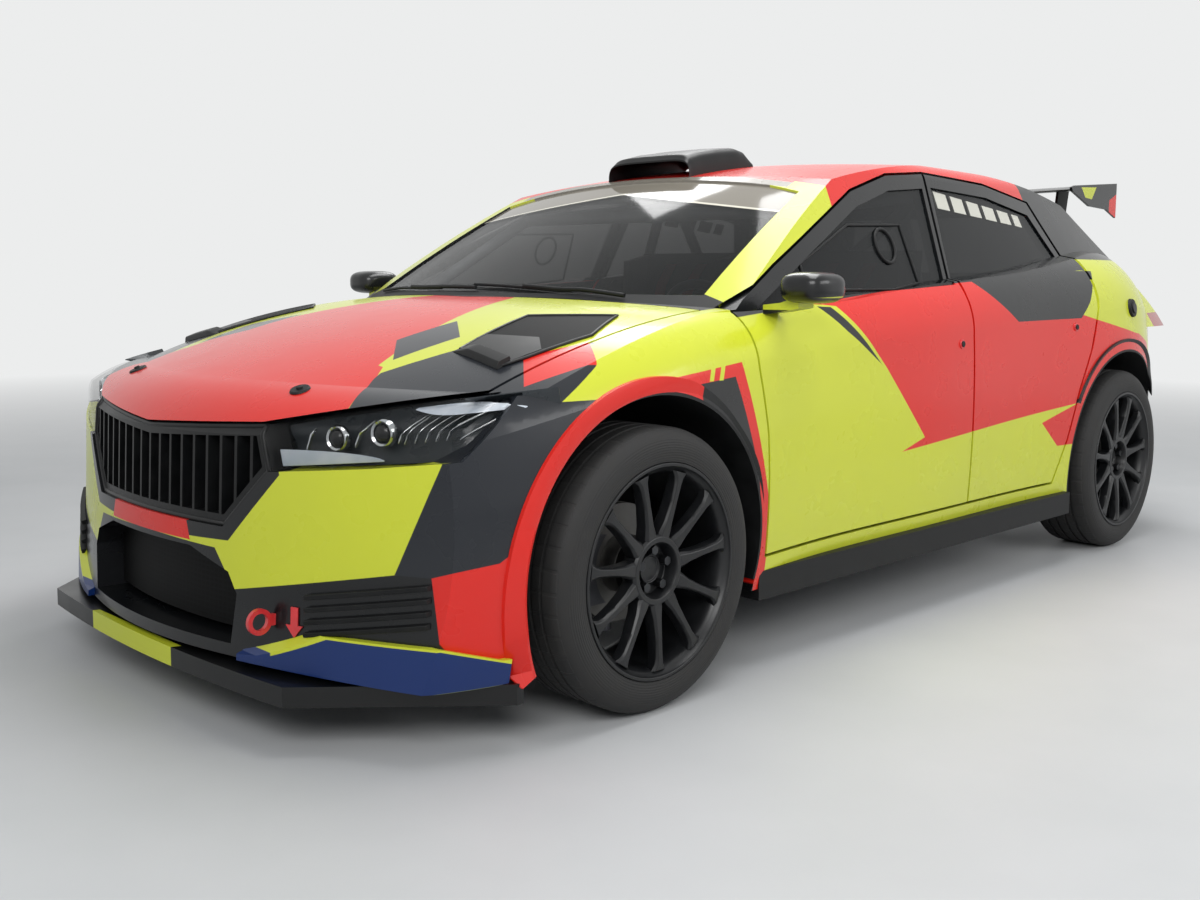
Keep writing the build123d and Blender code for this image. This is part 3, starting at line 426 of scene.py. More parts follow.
def wrap(name, base, groups, paints):
    """Gloss vinyl in the livery's colours. Faces that look inwards or down are painted dark grey, a painted
    shade.
    """
    finish = Finish(name, Specular_IOR_Level=0.3, Coat_Weight=0.3, Coat_Roughness=0.09)
    views = {
        "side": (finish.x, finish.z),
        "plan": (finish.x, abs(finish.y)),
        "front": (abs(finish.y), finish.z),
    }
    colour = paints[base]
    for view, areas in groups:
        for paint, corners in areas:
            inside = finish.depth(*views[view], corners)
            colour = finish.mix(inside.mask(), colour, paints[paint])
    dust = finish.noise(2.2, 5)
    colour = finish.mix(dust.scaled(0.14, -0.05), colour, rgb("6f6d68"))
    # Painted shade: faces turned inwards, down, or towards the middle at the nose and tail take dark grey
    # instead of the livery.
    side, end = finish.y.sign(), finish.x.sign()
    inward_shade = (finish.facing_y * side * -1).mask(0.35, 0.1) | (finish.facing_z * -1).mask(0.6, 0.1)
    inward_shade = inward_shade | (finish.facing_x * end * -1).mask(0.4, 0.1) * abs(finish.x).mask(1.25)
    finish.paint(Base_Color=finish.mix(inward_shade, colour, rgb("1b1c1e")))
    finish.paint(Roughness=finish.noise(9, 3).scaled(0.08, 0.24))
    finish.bump(finish.noise(420, 1), 0.05, 0.0004)
    return finish.material


def plain(name, colour, roughness, grain=300, bump=0.15, **sockets):
    """A moulded, painted or cast surface with fine grain and slight wear."""
    finish = Finish(name, **sockets)
    spots = finish.noise(14, 5)
    worn = tuple(min(1, c * 1.8 + 0.01) for c in colour)
    finish.paint(Base_Color=finish.mix(spots.scaled(1.2, -0.45), colour, worn))
    finish.paint(Roughness=spots.scaled(0.16, roughness - 0.08))
    finish.bump(finish.noise(grain, 2), bump, 0.0005)
    return finish.material


def loft(bm, sections):
    """A skin through rings of points, capped at its ends."""
    rings = []
    for points in sections:
        verts = [bm.verts.new(p) for p in points]
        rings.append([bm.edges.new(pair) for pair in pairs(verts)])
    for a, b in zip(rings, rings[1:]):
        bmesh.ops.bridge_loops(bm, edges=a + b)
    for ring in (rings[0], rings[-1]):
        bmesh.ops.contextual_create(bm, geom=ring)


def draped(bm, corners, tree, lift, thickness):
    """A plan-view outline in millimetres laid on a surface from above."""
    face = flat(bm, [(x / 1000, y / 1000, ABOVE_ROOF) for x, y in corners])
    bmesh.ops.triangulate(bm, faces=[face])
    bmesh.ops.subdivide_edges(bm, edges=bm.edges[:], cuts=4, use_grid_fill=True)
    for vert in bm.verts:
        found, _ = hit(tree, vert.co, (0, 0, -1))
        vert.co.z = (found.z if found else 0.8) + lift
    bmesh.ops.solidify(bm, geom=bm.faces[:], thickness=thickness)


def superbox(bm, centre, half, power=4.0, steps=24):
    """A rounded box: a sphere's grid drawn out towards a box's sides."""
    made = bmesh.ops.create_uvsphere(bm, u_segments=steps * 2, v_segments=steps, radius=1)
    for vert in made["verts"]:
        length = sum(abs(c) ** power for c in vert.co) ** (1 / power)
        vert.co = Vector(c + h * v / length for c, h, v in zip(centre, half, vert.co))
    return made["verts"]


def mirrored(corners, k):
    """A plan-view outline on the left, where k is 1, or on the right, where it is -1."""
    return [(x, y * k) for x, y in corners]


# Settings


def colour_property(name, description, colour):
    return FloatVectorProperty(name=name, description=description, default=rgb(colour), subtype="COLOR")


class WrapSettings(PropertyGroup):
    """Colours of the vinyl wrap."""

    yellow: colour_property("Yellow", "Main colour of the wrap", "cbd334")
    red: colour_property("Red", "Second colour of the wrap", "d91f14")
    grey: colour_property("Grey", "Dark grey fields of the wrap", "181c23")
    black: colour_property("Black", "Black fields of the wrap", "090b0e")
    blue: colour_property("Blue", "Splitter fins", "0b2a63")
    strip: colour_property("Sun strip", "Strip along the windscreen's top", "827d73")

    def paints(self):
        names = ("yellow", "red", "grey", "black", "blue", "strip")
        return {name: tuple(getattr(self, name)) for name in names}


class WheelSettings(PropertyGroup):
    """Shape of the wheels and tyres."""

    spokes: IntProperty(name="Spokes", description="Spokes on each wheel", default=11, min=5, max=20)
    nuts: IntProperty(name="Nuts", description="Wheel nuts on each wheel", default=5, min=4, max=6)
    groove: FloatProperty(
        name="Groove depth", description="Depth of the tread's grooves", default=0.006, unit="LENGTH"
    )


class StageSettings(PropertyGroup):
    """Place, aim and lens of the camera."""

    camera: FloatVectorProperty(
        name="Camera",
        description="Place of the camera",
        default=(3.3263, 2.69003, 0.98104),
        subtype="TRANSLATION",
    )
    yaw: FloatProperty(name="Yaw", description="Heading from +X", default=3.93559, subtype="ANGLE")
    pitch: FloatProperty(name="Pitch", description="Tilt above level", default=-0.103206, subtype="ANGLE")
    roll: FloatProperty(name="Roll", description="Turn about its axis", default=0.0058362, subtype="ANGLE")
    lens: FloatProperty(name="Lens", description="Focal length in millimetres", default=37.26)
    shift: FloatVectorProperty(name="Shift", description="Lens shift", size=2, default=(0.03032, -0.03772))


# Pieces

# Finishes that several pieces share, made when the first of them is built.
SHARED = {}
DOOR_PANELS = tuple(f"door_{end}_{side}_panel" for end in ("front", "rear") for side, _ in SIDES)
BODY_PANELS = (
    "front_bumper",
    "bonnet_panel",
    "front_fenders",
    "body_sides",
    "rear_bumper",
    "tailgate_panel",
    "roof_panel",
    *DOOR_PANELS,
)


def wrap_body(paints):
    """The livery on each panel."""
    side, doors = ("side", SIDE_AREAS), ("side", DOOR_AREAS)
    dress(wrap("wrap_bonnet", "yellow", [("plan", BONNET_AREAS)], paints), "bonnet_panel")
    bumper = [("front", FRONT_AREAS), ("side", BUMPER_SIDE_AREAS)]
    dress(wrap("wrap_bumper", "yellow", bumper, paints), "front_bumper")
    fender = [("side", FENDER_AREAS), ("plan", FENDER_TOP_AREAS)]
    dress(wrap("wrap_fenders", "yellow", fender, paints), "front_fenders")
    dress(wrap("wrap_doors", "yellow", [side, doors], paints), *DOOR_PANELS)
    dress(wrap("wrap_sides", "yellow", [side, ("side", PILLAR_AREAS)], paints), "body_sides")
    dress(wrap("wrap_roof", "red", [("plan", ROOF_AREAS)], paints), "roof_panel")
    dress(wrap("wrap_tail", "yellow", [("front", TAIL_AREAS)], paints), "tailgate_panel", "rear_bumper")


def glass(name, colour, alpha):
    """Tinted glass with faint dust."""
    finish = Finish(name, Base_Color=colour, Specular_IOR_Level=0.28, Alpha=alpha, IOR=1.5)
    finish.paint(Roughness=finish.noise(6, 4).scaled(0.08, 0.02))
    return finish


def glaze(paints):
    """Windscreen with its sun strip, side glass with pale squares, and lamp lenses."""
    strip_edge, line_edge, fall = 1.241, 1.236, 0.12
    screen = glass("windscreen_glass", rgb("0c0f10"), 0.5)
    height = screen.z + abs(screen.y) * fall
    top = height.mask(strip_edge)
    line = height.mask(line_edge) * (1 - top)
    colour = screen.mix(top, rgb("0c0f10"), paints["strip"])
    screen.paint(Base_Color=screen.mix(line, colour, rgb("d8d4c4")), Alpha=(top | line).scaled(0.5, 0.5))
    dress(screen.material, "windscreen")
    square_pitch = 0.106
    for name, _ in SIDES:
        pane = glass(f"side_glass_{name}", rgb("101315"), 0.66)
        band = pane.depth(pane.x, pane.z, SQUARES_BAND)
        square = pane.x.repeat(square_pitch).mask(0.014, 0.002) * band.mask()
        pane.paint(Base_Color=pane.mix(square, rgb("101315"), rgb("c9c8bd")), Alpha=square.scaled(0.34, 0.66))
        dress(pane.material, f"door_front_{name}_window", f"door_rear_{name}_window")
    dress(glass("rear_glass", rgb("101315"), 0.72).material, "rear_window")
    dress(glass("lamp_lens", rgb("0b0d0f"), 0.14).material, "headlamp_lenses")
    lens = Finish("tail_lens", Base_Color=rgb("9c0d12"), Coat_Weight=0.5, Coat_Roughness=0.05, Roughness=0.12)
    lens.bump(lens.z.repeat(0.012), 0.5, 0.002)
    dress(lens.material, "tail_lamps")


def trim_finishes():
    """Plain finishes shared by pieces and carried-over nodes."""
    made = {
        "plastic": plain("black_plastic", rgb("0a0b0c"), 0.55, Specular_IOR_Level=0.3),
        "satin": plain("satin_black", rgb("08090a"), 0.38, bump=0.05, Specular_IOR_Level=0.3),
        "carbon": plain("gloss_black", rgb("08090a"), 0.26, bump=0.03, Coat_Weight=0.25),
        "rim": plain("wheel_paint", rgb("0f1012"), 0.36, bump=0.06, Specular_IOR_Level=0.4),
        "dark": plain("dark_steel", rgb("3a3b3d"), 0.42, grain=700, Metallic=1.0),
        "brake": plain("disc_iron", rgb("6b6a68"), 0.42, grain=900, bump=0.3, Metallic=1.0),
        "dark_void": plain("lamp_shell", rgb("22272b"), 0.28, bump=0.05),
        "iron": plain("cast_iron", rgb("55565a"), 0.5, grain=220, bump=0.4, Metallic=0.7),
        "alloy": plain("cast_alloy", rgb("96999c"), 0.45, grain=160, bump=0.5, Metallic=0.9),
        "cage": plain("cage_paint", rgb("b9bcbe"), 0.35, bump=0.04),
        "floor": plain("underbody", rgb("26282a"), 0.6, grain=120, bump=0.5),
        "red": plain("red_paint", rgb("c2262b"), 0.35, bump=0.04, Coat_Weight=0.5),
        "chrome": plain("lamp_chrome", rgb("c6cbce"), 0.12, bump=0.01, Metallic=1.0),
        # Pale blue-white for the lamp's light guide and for its painted reflection.
        "white": plain("lamp_white", rgb("c3cedb"), 0.14, bump=0.02, Coat_Weight=0.6),
    }
    suede = Finish("suede", Base_Color=rgb("1b1b1c"), Roughness=0.95, Sheen_Weight=0.5)
    suede.bump(suede.noise(900, 3), 0.4, 0.0006)
    made["suede"] = suede.material
    fabric = Finish("chair_fabric", Roughness=0.9, Sheen_Weight=0.3)
    weave = (fabric.x * 2600).sine() * (fabric.z * 2600).sine()
    fabric.paint(Base_Color=fabric.mix(weave.mask(0, 0.8), rgb("151617"), rgb("2b2c2e")))
    fabric.bump(weave, 0.5, 0.0006)
    made["fabric"] = fabric.material
    webbing = Finish("harness_webbing", Roughness=0.85, Sheen_Weight=0.2)
    thread = (webbing.z * 3000).sine()
    webbing.paint(Base_Color=webbing.mix(thread.mask(0, 1.0), rgb("a51a1e"), rgb("c4272b")))
    webbing.bump(thread, 0.4, 0.0004)
    made["webbing"] = webbing.material
    mesh = Finish("hex_mesh", Roughness=0.6, Specular_IOR_Level=0.12)
    hole = mesh.y.repeat(0.016) & mesh.z.repeat(0.012)
    # The cells' insides are painted near-black: painted shade seen through the mesh's holes.
    mesh.paint(Base_Color=mesh.mix(hole.mask(0.0022, 0.001), rgb("08090a"), rgb("010101")))
    mesh.bump(hole, 1.0, 0.006)
    made["mesh"] = mesh.material
    net = Finish("vent_mesh", Roughness=0.6, Specular_IOR_Level=0.12)
    hole = net.x.repeat(0.011) & net.y.repeat(0.011)
    # The cells' insides are painted near-black: painted shade seen through the vent's holes.
    net.paint(Base_Color=net.mix(hole.mask(0.0014, 0.0008), rgb("0b0c0d"), rgb("010101")))
    net.bump(hole, 1.0, 0.004)
    made["net"] = net.material
    return made


def finishes():
    """The shared finishes, made once."""
    if not SHARED:
        SHARED.update(trim_finishes())
    return SHARED


def splitter_finish(paints):
    """Black splitter with blue fins edged in yellow and a yellow field at its front."""
    finish = Finish("splitter_finish", Specular_IOR_Level=0.3, Coat_Weight=0.2, Coat_Roughness=0.1)
    blade_top = 0.1505
    fin = finish.z.mask(blade_top)
    blue = finish.depth(finish.x, finish.z, FIN_TIP) | finish.depth(finish.x, finish.z, FIN_BODY)
    colour = finish.mix(fin, rgb("070809"), paints["yellow"])
    colour = finish.mix(fin * blue.mask(0.0045, 0.001), colour, paints["blue"])
    front = finish.depth(finish.x, finish.y, SPLITTER_FIELD)
    colour = finish.mix(front.mask(), colour, paints["yellow"])
    finish.paint(Base_Color=colour, Roughness=finish.noise(10, 4).scaled(0.15, 0.3))
    finish.bump(finish.noise(300, 2), 0.1, 0.0004)
    return finish.material


def tyre_finish(name, axle):
    """Rubber with fine side ribs and cross cuts in the tread."""
    cuts, ribs_below, cuts_above = 42, 0.3, 0.3185
    finish = Finish(name)
    dx, dz = finish.x.scaled(1, -axle), finish.z.scaled(1, -WHEEL_R)
    radius, angle = dx.hypot(dz), dz.angle(dx)
    rib = (radius * 1100).sine() * (1 - radius.mask(ribs_below))
    cut = angle.repeat(math.tau / cuts).mask(0.012, 0.006) * radius.mask(cuts_above)
    dust = finish.noise(30, 6)
    finish.paint(Base_Color=finish.mix(dust.scaled(0.6, -0.15), rgb("141415"), rgb("35332f")))
    finish.paint(Roughness=dust.scaled(0.2, 0.62))
    finish.bump(rib * 0.2 + cut + finish.noise(500, 2) * 0.1, 0.6, 0.002)
    return finish.material


def wheel_arches(trim, paints):
    """Raised flares around the wheel arches: red at the front, black at the rear."""
    inner, narrow, wide, rear_width = 0.3952, 0.018, 0.022, 0.045
    least_y, usual_y = 0.8, 0.875
    front = wrap("flare_vinyl", "red", [("side", FLARE_AREAS)], paints)
    tree = skin(*BODY_PANELS)
    rows = (("front", FRONT_AXLE, -25, 166, front), ("rear", REAR_AXLE, 14, 148, trim["satin"]))
    for end, axle, start, stop, material in rows:
        for side, k in SIDES:
            bm = bmesh.new()
            sections = []
            for i in range(65):
                share = i / 64
                turn = math.radians(start + (stop - start) * share)
                width = rear_width
                if end == "front":
                    width = narrow + wide * min(1, max(0, math.radians(132) - turn) * 2.2)
                ends = min(1, min(share, 1 - share) * 12)
                spots = []
                profile = ((inner, -0.012), (inner, 0.010), (0.402, 0.0125), (0.396 + width, 0.008))
                for radius, lift in profile:
                    x, z = axle + radius * math.cos(turn), WHEEL_R + radius * math.sin(turn)
                    found, _ = from_side(tree, x, z, k)
                    if found is None or abs(found.y) < least_y:
                        found = Vector((x, k * spots[-1][3] if spots else k * usual_y, z))
                    spots.append((x, z, lift * ends, abs(found.y)))
                base = max(spot[3] for spot in spots[:2])
                ring = [
                    (x, k * ((base if n < 3 else y) + lift), z)
                    for n, (x, z, lift, y) in enumerate(spots)
                ]
                reach, y = 0.3975 + width, spots[-1][3]
                x, z = axle + reach * math.cos(turn), WHEEL_R + reach * math.sin(turn)
                ring.append((x, k * (y - 0.004), z))
                sections.append(ring)
            loft(bm, sections)
            piece(f"flare_{end}_{side}", bm, material, "car")


# Outlines of the wheel as radii and widths in millimetres.
TYRE_WALL = [
    (321, 88), (314, 98), (304, 105), (290, 110.5), (270, 111.5),
    (256, 109.5), (248, 108), (246.5, 104), (236, 99), (232.5, 94),
]
BARREL = [
    (245, 110), (246.3, 107), (240, 103), (234, 98), (229, 90), (226, 70),
    (224, -70), (229, -96), (244, -104), (246, -110), (238, -110), (226, -98),
    (219, -72), (221, 66), (223, 88), (229, 97), (236, 103), (238, 110),
]
HUB = [
    (0.5, 64), (28, 64), (30, 68), (33, 68), (34, 60), (58, 60), (62, 88),
    (65, 94), (76, 94), (82, 88), (82, 66), (66, 40), (0.5, 40),
]
DISC = [
    (66, -26), (138, -26), (139, -27), (139, -34), (132, -35),
    (132, -41), (139, -42), (139, -49), (138, -50), (66, -50),
]
HAT = [(40, 22), (66, 20), (68, 16), (68, -26), (62, -26), (60, 14), (40, 16)]

# A spoke's stations: radius, half width, back and face.
SPOKE = (
    (70, 19, 58, 92), (86, 19, 60, 94), (112, 13, 64, 97), (156, 10, 70, 101),
    (198, 11, 74, 103), (214, 15, 77, 103), (227, 25, 80, 102),
)


def spoke(bm, turn, centre, k):
    """A spoke with rounded edges, at a turn about the wheel's axis."""
    sections = []
    for r, a, low, high in SPOKE:
        shape = (
            (-a, low), (-a, high - 6), (-a * 0.62, high), (a * 0.62, high),
            (a, high - 6), (a, low), (a * 0.5, low - 4), (-a * 0.5, low - 4),
        )
        ring = []
        for t, w in shape:
            px = r * math.cos(turn) - t * math.sin(turn)
            pz = r * math.sin(turn) + t * math.cos(turn)
            ring.append((centre[0] + px / 1000, centre[1] + k * w / 1000, centre[2] + pz / 1000))
        sections.append(ring)
    loft(bm, sections)


def wheels(settings, trim):
    """Tyres with grooves, spoked rims with their nuts, and brake discs."""
    nut_circle = 0.045
    depth = settings.groove * 1000
    tread = [(324.6, -76)]
    for w in (-50, -18, 18, 50):
        tread += [(325, w - 5), (325 - depth, w - 4), (325 - depth, w + 4), (325, w + 5)]
    tread.append((324.6, 76))
    tyre = [(r, -w) for r, w in reversed(TYRE_WALL)] + tread + TYRE_WALL
    for end, axle in (("front", FRONT_AXLE), ("rear", REAR_AXLE)):
        rubber = tyre_finish(f"tyre_rubber_{end}", axle)
        for side, k in SIDES:
            centre = (axle, k * WHEEL_Y, WHEEL_R)
            body = f"wheel_{end}_{side}"
            bm = bmesh.new()
            spun(bm, [(r, w * k) for r, w in tyre], centre, 120)
            made = piece(f"tyre_{end}_{side}", bm, rubber, body)
            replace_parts(made, f"{body}_tyre")
            bm = bmesh.new()
            spun(bm, [(r, w * k) for r, w in BARREL], centre, 120)
            spun(bm, [(r, w * k) for r, w in HUB], centre, 64)
            for i in range(settings.spokes):
                spoke(bm, math.tau * (i + 0.25) / settings.spokes, centre, k)
            made = piece(f"rim_{end}_{side}", bm, trim["rim"], body, bevel=0.0012)
            bm = bmesh.new()
            spun(bm, [(r, w * k) for r, w in DISC], centre, 96)
            spun(bm, [(r, w * k) for r, w in HAT], centre, 64)
            brake = piece(f"disc_{end}_{side}", bm, trim["brake"], body)
            bm = bmesh.new()
            for i in range(settings.nuts):
                turn = math.tau * i / settings.nuts + 0.3
                x, z = centre[0] + nut_circle * math.cos(turn), centre[2] + nut_circle * math.sin(turn)
                nut = drum(bm, 6, 0.0115, 0.0105, 0.024)
                settle(bm, nut, Matrix.Rotation(math.pi / 2 * k, 3, "X"), (x, centre[1] + k * 0.071, z))
            piece(f"nuts_{end}_{side}", bm, trim["dark"], body, bevel=0.0006)
            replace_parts(made, f"{body}_rim")
            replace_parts(brake, f"{body}_rim")


def front_end(trim, paints):
    """Splitter, side intakes, lamps and bonnet fittings."""
    dress(splitter_finish(paints), "splitter")
    dress(trim["satin"], "grille")
    dress(trim["mesh"], "intake_mesh")
    front = skin("front_bumper")
    bonnet = skin("bonnet_panel")
    slat_start, slat_stop, slat_pitch, slat_drop = 535, 792, 26, 46
    for side, k in SIDES:
        bm = bmesh.new()
        for i in range(4):
            top, low = 372 - slat_pitch * i, 360 - slat_pitch * i
            sections = []
            for n in range(13):
                share = n / 12
                y = slat_start + (slat_stop - slat_start) * share
                drop = (1 - share) * slat_drop
                ring = []
                profile = ((low, 0.001), (top, 0.001), (top - 2, 0.016), (low, 0.012))
                for z, lift in ((height - drop, lift) for height, lift in profile):
                    found, _ = from_front(front, k * y / 1000, z / 1000)
                    x = found.x if found else 1.8
                    ring.append((x + lift, k * y / 1000, z / 1000))
                sections.append(ring)
            loft(bm, sections)
        piece(f"intake_slats_{side}", bm, trim["plastic"], "car", bevel=0.001)
        bonnet_vent(side, k, bonnet, trim)
        found, normal = from_above(bonnet, 1.858, k * 0.383)
        bm = bmesh.new()
        drum(bm, 48, 0.024, 0.021, 0.005)
        stud = drum(bm, 32, 0.008, 0.007, 0.007)
        bmesh.ops.translate(bm, verts=stud, vec=(0, 0, 0.004))
        turn = Vector((0, 0, 1)).rotation_difference(normal).to_matrix()
        settle(bm, bm.verts[:], turn, found + normal * 0.002)
        piece(f"bonnet_pin_{side}", bm, trim["plastic"], "bonnet", bevel=0.001)
        lamp(side, k, trim)
    bm = bmesh.new()
    arrow = ((0, 0), (22, 26), (9, 26), (9, 64), (-9, 64), (-9, 26), (-22, 26))
    found, normal = from_front(front, 0.503, 0.262)
    across = Vector((0, 0, 1)).cross(normal).normalized()

    def place(a, b, height):
        upward = normal.cross(across)
        return found + across * (a / 1000) + upward * (b / 1000 - 0.032) + normal * (height + 0.001)

    prism(bm, arrow, place, 0, 0.004)
    piece("tow_arrow", bm, trim["red"], "car", bevel=0.0006)
    grille_edge(trim)


def grille_edge(trim):
    """Satin frame around the grille's mouth."""
    outline = ((-298, 442), (298, 442), (423, 570), (399, 664), (0, 639), (-399, 664), (-423, 570))
    tree = skin("front_bumper", "bonnet_panel", "grille")
    ring = []
    for a, b in around(outline, 12):
        y, z = a / 1000 * 0.985, b / 1000 * 0.985 + 0.008
        found, _ = from_front(tree, y, z)
        ring.append((found.x - 0.002 if found else 1.98, y, z))
    rod("grille_edge", ring, 0.007, trim["satin"], "car", closed=True)


VENT = ((1536, 537), (1268, 470), (1142, 650), (1304, 722), (1485, 702), (1546, 690))
VENT_RAMP = ((1534, 541), (1440, 518), (1390, 640), (1440, 700), (1544, 688))


def bonnet_vent(side, k, bonnet, trim):
    """A mesh-covered bonnet outlet with a smooth ramp behind a raised front lip."""

    def above(x, y, lift):
        found, _ = from_above(bonnet, x / 1000, k * y / 1000)
        return (x / 1000, k * y / 1000, (found.z if found else 0.8) + lift / 1000)

    bm = bmesh.new()
    draped(bm, mirrored(VENT, k), bonnet, 0.003, -0.003)
    piece(f"vent_mesh_{side}", bm, trim["net"], "bonnet")
    bm = bmesh.new()
    draped(bm, mirrored(VENT_RAMP, k), bonnet, 0.0055, -0.002)
    piece(f"vent_ramp_{side}", bm, trim["satin"], "bonnet")
    ring = [above(x, y, 3) for x, y in around(VENT, 4)]
    rod(f"vent_frame_{side}", ring, 0.004, trim["satin"], "bonnet", closed=True)
    bm = bmesh.new()
    sections = []
    for n in range(17):
        share = n / 16
        x, y = 1538 + 10 * share, 530 + 162 * share
        rise = 17 * min(1, 3 * share + 0.1)
        profile = ((15, 0.5), (14, rise * 0.8), (11, rise), (-20, rise * 1.05), (-24, rise * 0.7), (-20, 0.5))
        sections.append([above(x + dx, y, dz) for dx, dz in profile])
    loft(bm, sections)
    piece(f"vent_lip_{side}", bm, trim["satin"], "bonnet", bevel=0.001)


def lamp(side, k, trim):
    """Behind a headlamp's lens: a dark shell, projectors, chrome blades, a pale light guide along the top and
    a pale band along the bottom that is a painted reflection.
    """
    past_lamp = 2.4
    lens = skin("headlamp_lenses")

    def behind(u, v, back):
        """A place behind the lens: u runs outwards and v upwards, each from 0 to 1."""
        low, high = (0.430 + 0.408 * u, 0.575 + 0.044 * u), (0.408 + 0.458 * u, 0.662 + 0.092 * u)
        y, z = low[0] + (high[0] - low[0]) * v, low[1] + (high[1] - low[1]) * v
        found, _ = hit(lens, (past_lamp, k * y, z), (-1, 0, 0))
        return ((found.x if found else 2.02 - 0.42 * u * u) - back, k * y, z)

    def band(bm, rows, back, thick):
        """A strip along rows of u and its lower and upper v."""
        sections = []
        for u, low, high in rows:
            corners = ((low, back), (high, back), (high, back + thick), (low, back + thick))
            sections.append([behind(u, v, depth) for v, depth in corners])
        loft(bm, sections)

    bm = bmesh.new()
    grid(bm, 36, 10, lambda u, v: behind(u, v, 0.052 + 0.02 * math.sin(math.pi * v)))
    bmesh.ops.solidify(bm, geom=bm.faces[:], thickness=0.002)
    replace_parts(piece(f"lamp_shell_{side}", bm, trim["dark_void"], "car"), "headlamp_bowls")
    bezel = [(25, 2), (30, 6), (34, 0), (34, -14), (28, -14), (25, -6)]
    eye = [(0.4, 10), (9, 9), (17, 5.5), (22, 0), (24, -10), (0.4, -10)]
    for name, outline, material in (("bezels", bezel, "chrome"), ("projectors", eye, "carbon")):
        bm = bmesh.new()
        for u, v, size in ((0.30, 0.56, 0.82), (0.53, 0.56, 0.86)):
            start = len(bm.verts)
            spun(bm, [(r * size, w * size) for r, w in outline], (0, 0, 0), 48)
            bm.verts.ensure_lookup_table()
            fresh = bm.verts[start:]
            settle(bm, fresh, Matrix.Rotation(-math.pi / 2 + k * 0.25, 3, "Z"), behind(u, v, 0.04))
        piece(f"lamp_{name}_{side}", bm, trim[material], "car")
    bm = bmesh.new()
    for n in range(6):
        u = 0.66 + 0.048 * n
        rows = [(u + 0.03 * t / 4, 0.32 + 0.1 * t, 0.37 + 0.11 * t) for t in range(5)]
        band(bm, rows, 0.03, 0.008)
    for u in (0.15, 0.415, 0.63):
        band(bm, [(u + 0.01 * t, 0.34 + 0.1 * t, 0.42 + 0.1 * t) for t in range(5)], 0.03, 0.008)
    piece(f"lamp_blades_{side}", bm, trim["chrome"], "car", bevel=0.0008)
    bm = bmesh.new()
    # A wide pale band along the bottom: a painted reflection.
    rows = [(0.02 + 0.56 * n / 24, 0.05, 0.07 + 0.38 * (1 - n / 24) ** 0.7) for n in range(25)]
    band(bm, rows, 0.02, 0.006)
    # A pale light guide along the top.
    rows = []
    for n in range(25):
        fall, bow = 0.2 * (n / 24) ** 3, 0.16 * math.sin(math.pi * (n + 0.5) / 25)
        rows.append((0.60 + 0.36 * n / 24, 0.93 - fall - bow, 0.95 - fall))
    band(bm, rows, 0.016, 0.006)
    piece(f"lamp_guides_{side}", bm, trim["white"], "car", bevel=0.001)


def glass_fittings(trim):
    """Wipers, and the sliding hatches' frames on the front doors' windows."""
    screen = skin("windscreen", "scuttle")
    parts = (("arm", 0.006, 0.012, 0.0, 0.62), ("blade", 0.0045, 0.008, 0.30, 1.0))
    for name, start, stop in (("left", 0.50, -0.06), ("right", -0.03, -0.60)):
        for part, radius, lift, low, high in parts:
            points = []
            for n in range(13):
                share = low + (high - low) * n / 12
                y = start + (stop - start) * share
                x = 1.008 - 0.10 * (y / 0.69) ** 2 - 0.022 * share
                found, _ = from_above(screen, x, y)
                points.append((x, y, (found.z if found else 0.95) + lift))
            rod(f"wiper_{part}_{name}", points, radius, trim["plastic"], "car")
    for side, k in SIDES:
        tree = skin(f"door_front_{side}_window")
        outline = ((539, 1121), (-49, 1140), (-62, 948), (532, 948))
        ring = []
        for x, z in ((a / 1000, b / 1000) for a, b in around(outline, 10)):
            found, _ = from_side(tree, x, z, k)
            if found:
                ring.append((x, found.y + k * 0.002, z))
        rod(f"hatch_frame_{side}", ring, 0.004, trim["plastic"], f"door_front_{side}", closed=True)
        turns = [t * math.tau / 24 for t in range(24)]
        circle = [(0.071 + 0.05 * math.cos(turn), 1.075 + 0.05 * math.sin(turn)) for turn in turns]
        circle = [(x, from_side(tree, x, z, k)[0].y + k * 0.003, z) for x, z in circle]
        rod(f"hatch_ring_{side}", circle, 0.005, trim["plastic"], f"door_front_{side}", closed=True)


# The mirror foot's stations: y, underside, top, front and back.
MIRROR_FOOT = (
    (0.80, 0.888, 0.912, 0.765, 0.71),
    (0.85, 0.895, 0.918, 0.76, 0.70),
    (0.90, 0.905, 0.935, 0.755, 0.69),
)


def side_fittings(trim, paints):
    """Mirrors, door locks and the filler cap."""
    mirror_y, mirror_z = 0.918, 0.956
    tree = skin(*BODY_PANELS)
    for side, k in SIDES:
        bm = bmesh.new()
        superbox(bm, (0.721, k * mirror_y, mirror_z), (0.078, 0.0655, 0.039), 3.2)
        sections = []
        for y, low, high, front, back in MIRROR_FOOT:
            ring = ((front, low), (front, high), (back, high), (back, low))
            sections.append([(x, k * y, z) for x, z in ring])
        loft(bm, sections)
        mirror = wrap("mirror_vinyl", "black", [("side", MIRROR_AREAS)], paints)
        made = piece(f"mirror_{side}", bm, mirror, f"door_front_{side}")
        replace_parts(made, f"door_front_{side}_mirror")
        bm = bmesh.new()
        superbox(bm, (0.652, k * mirror_y, mirror_z), (0.008, 0.045, 0.025), 3.5, 16)
        piece(f"mirror_glass_{side}", bm, trim["chrome"], f"door_front_{side}")
        for end, x, z in (("front", -0.155, 0.784), ("rear", -0.92, 0.817)):
            rings = ((0.015, 0.004, "red"), (0.010, 0.007, "plastic"))
            fitted_disc(f"door_lock_{end}_{side}", tree, (x, k, z), rings, trim, f"door_{end}_{side}")
    rings = ((0.036, 0.008, "plastic"), (0.022, 0.013, "satin"))
    fitted_disc("filler_cap", tree, (-1.373, 1, 0.876), rings, trim, "car")


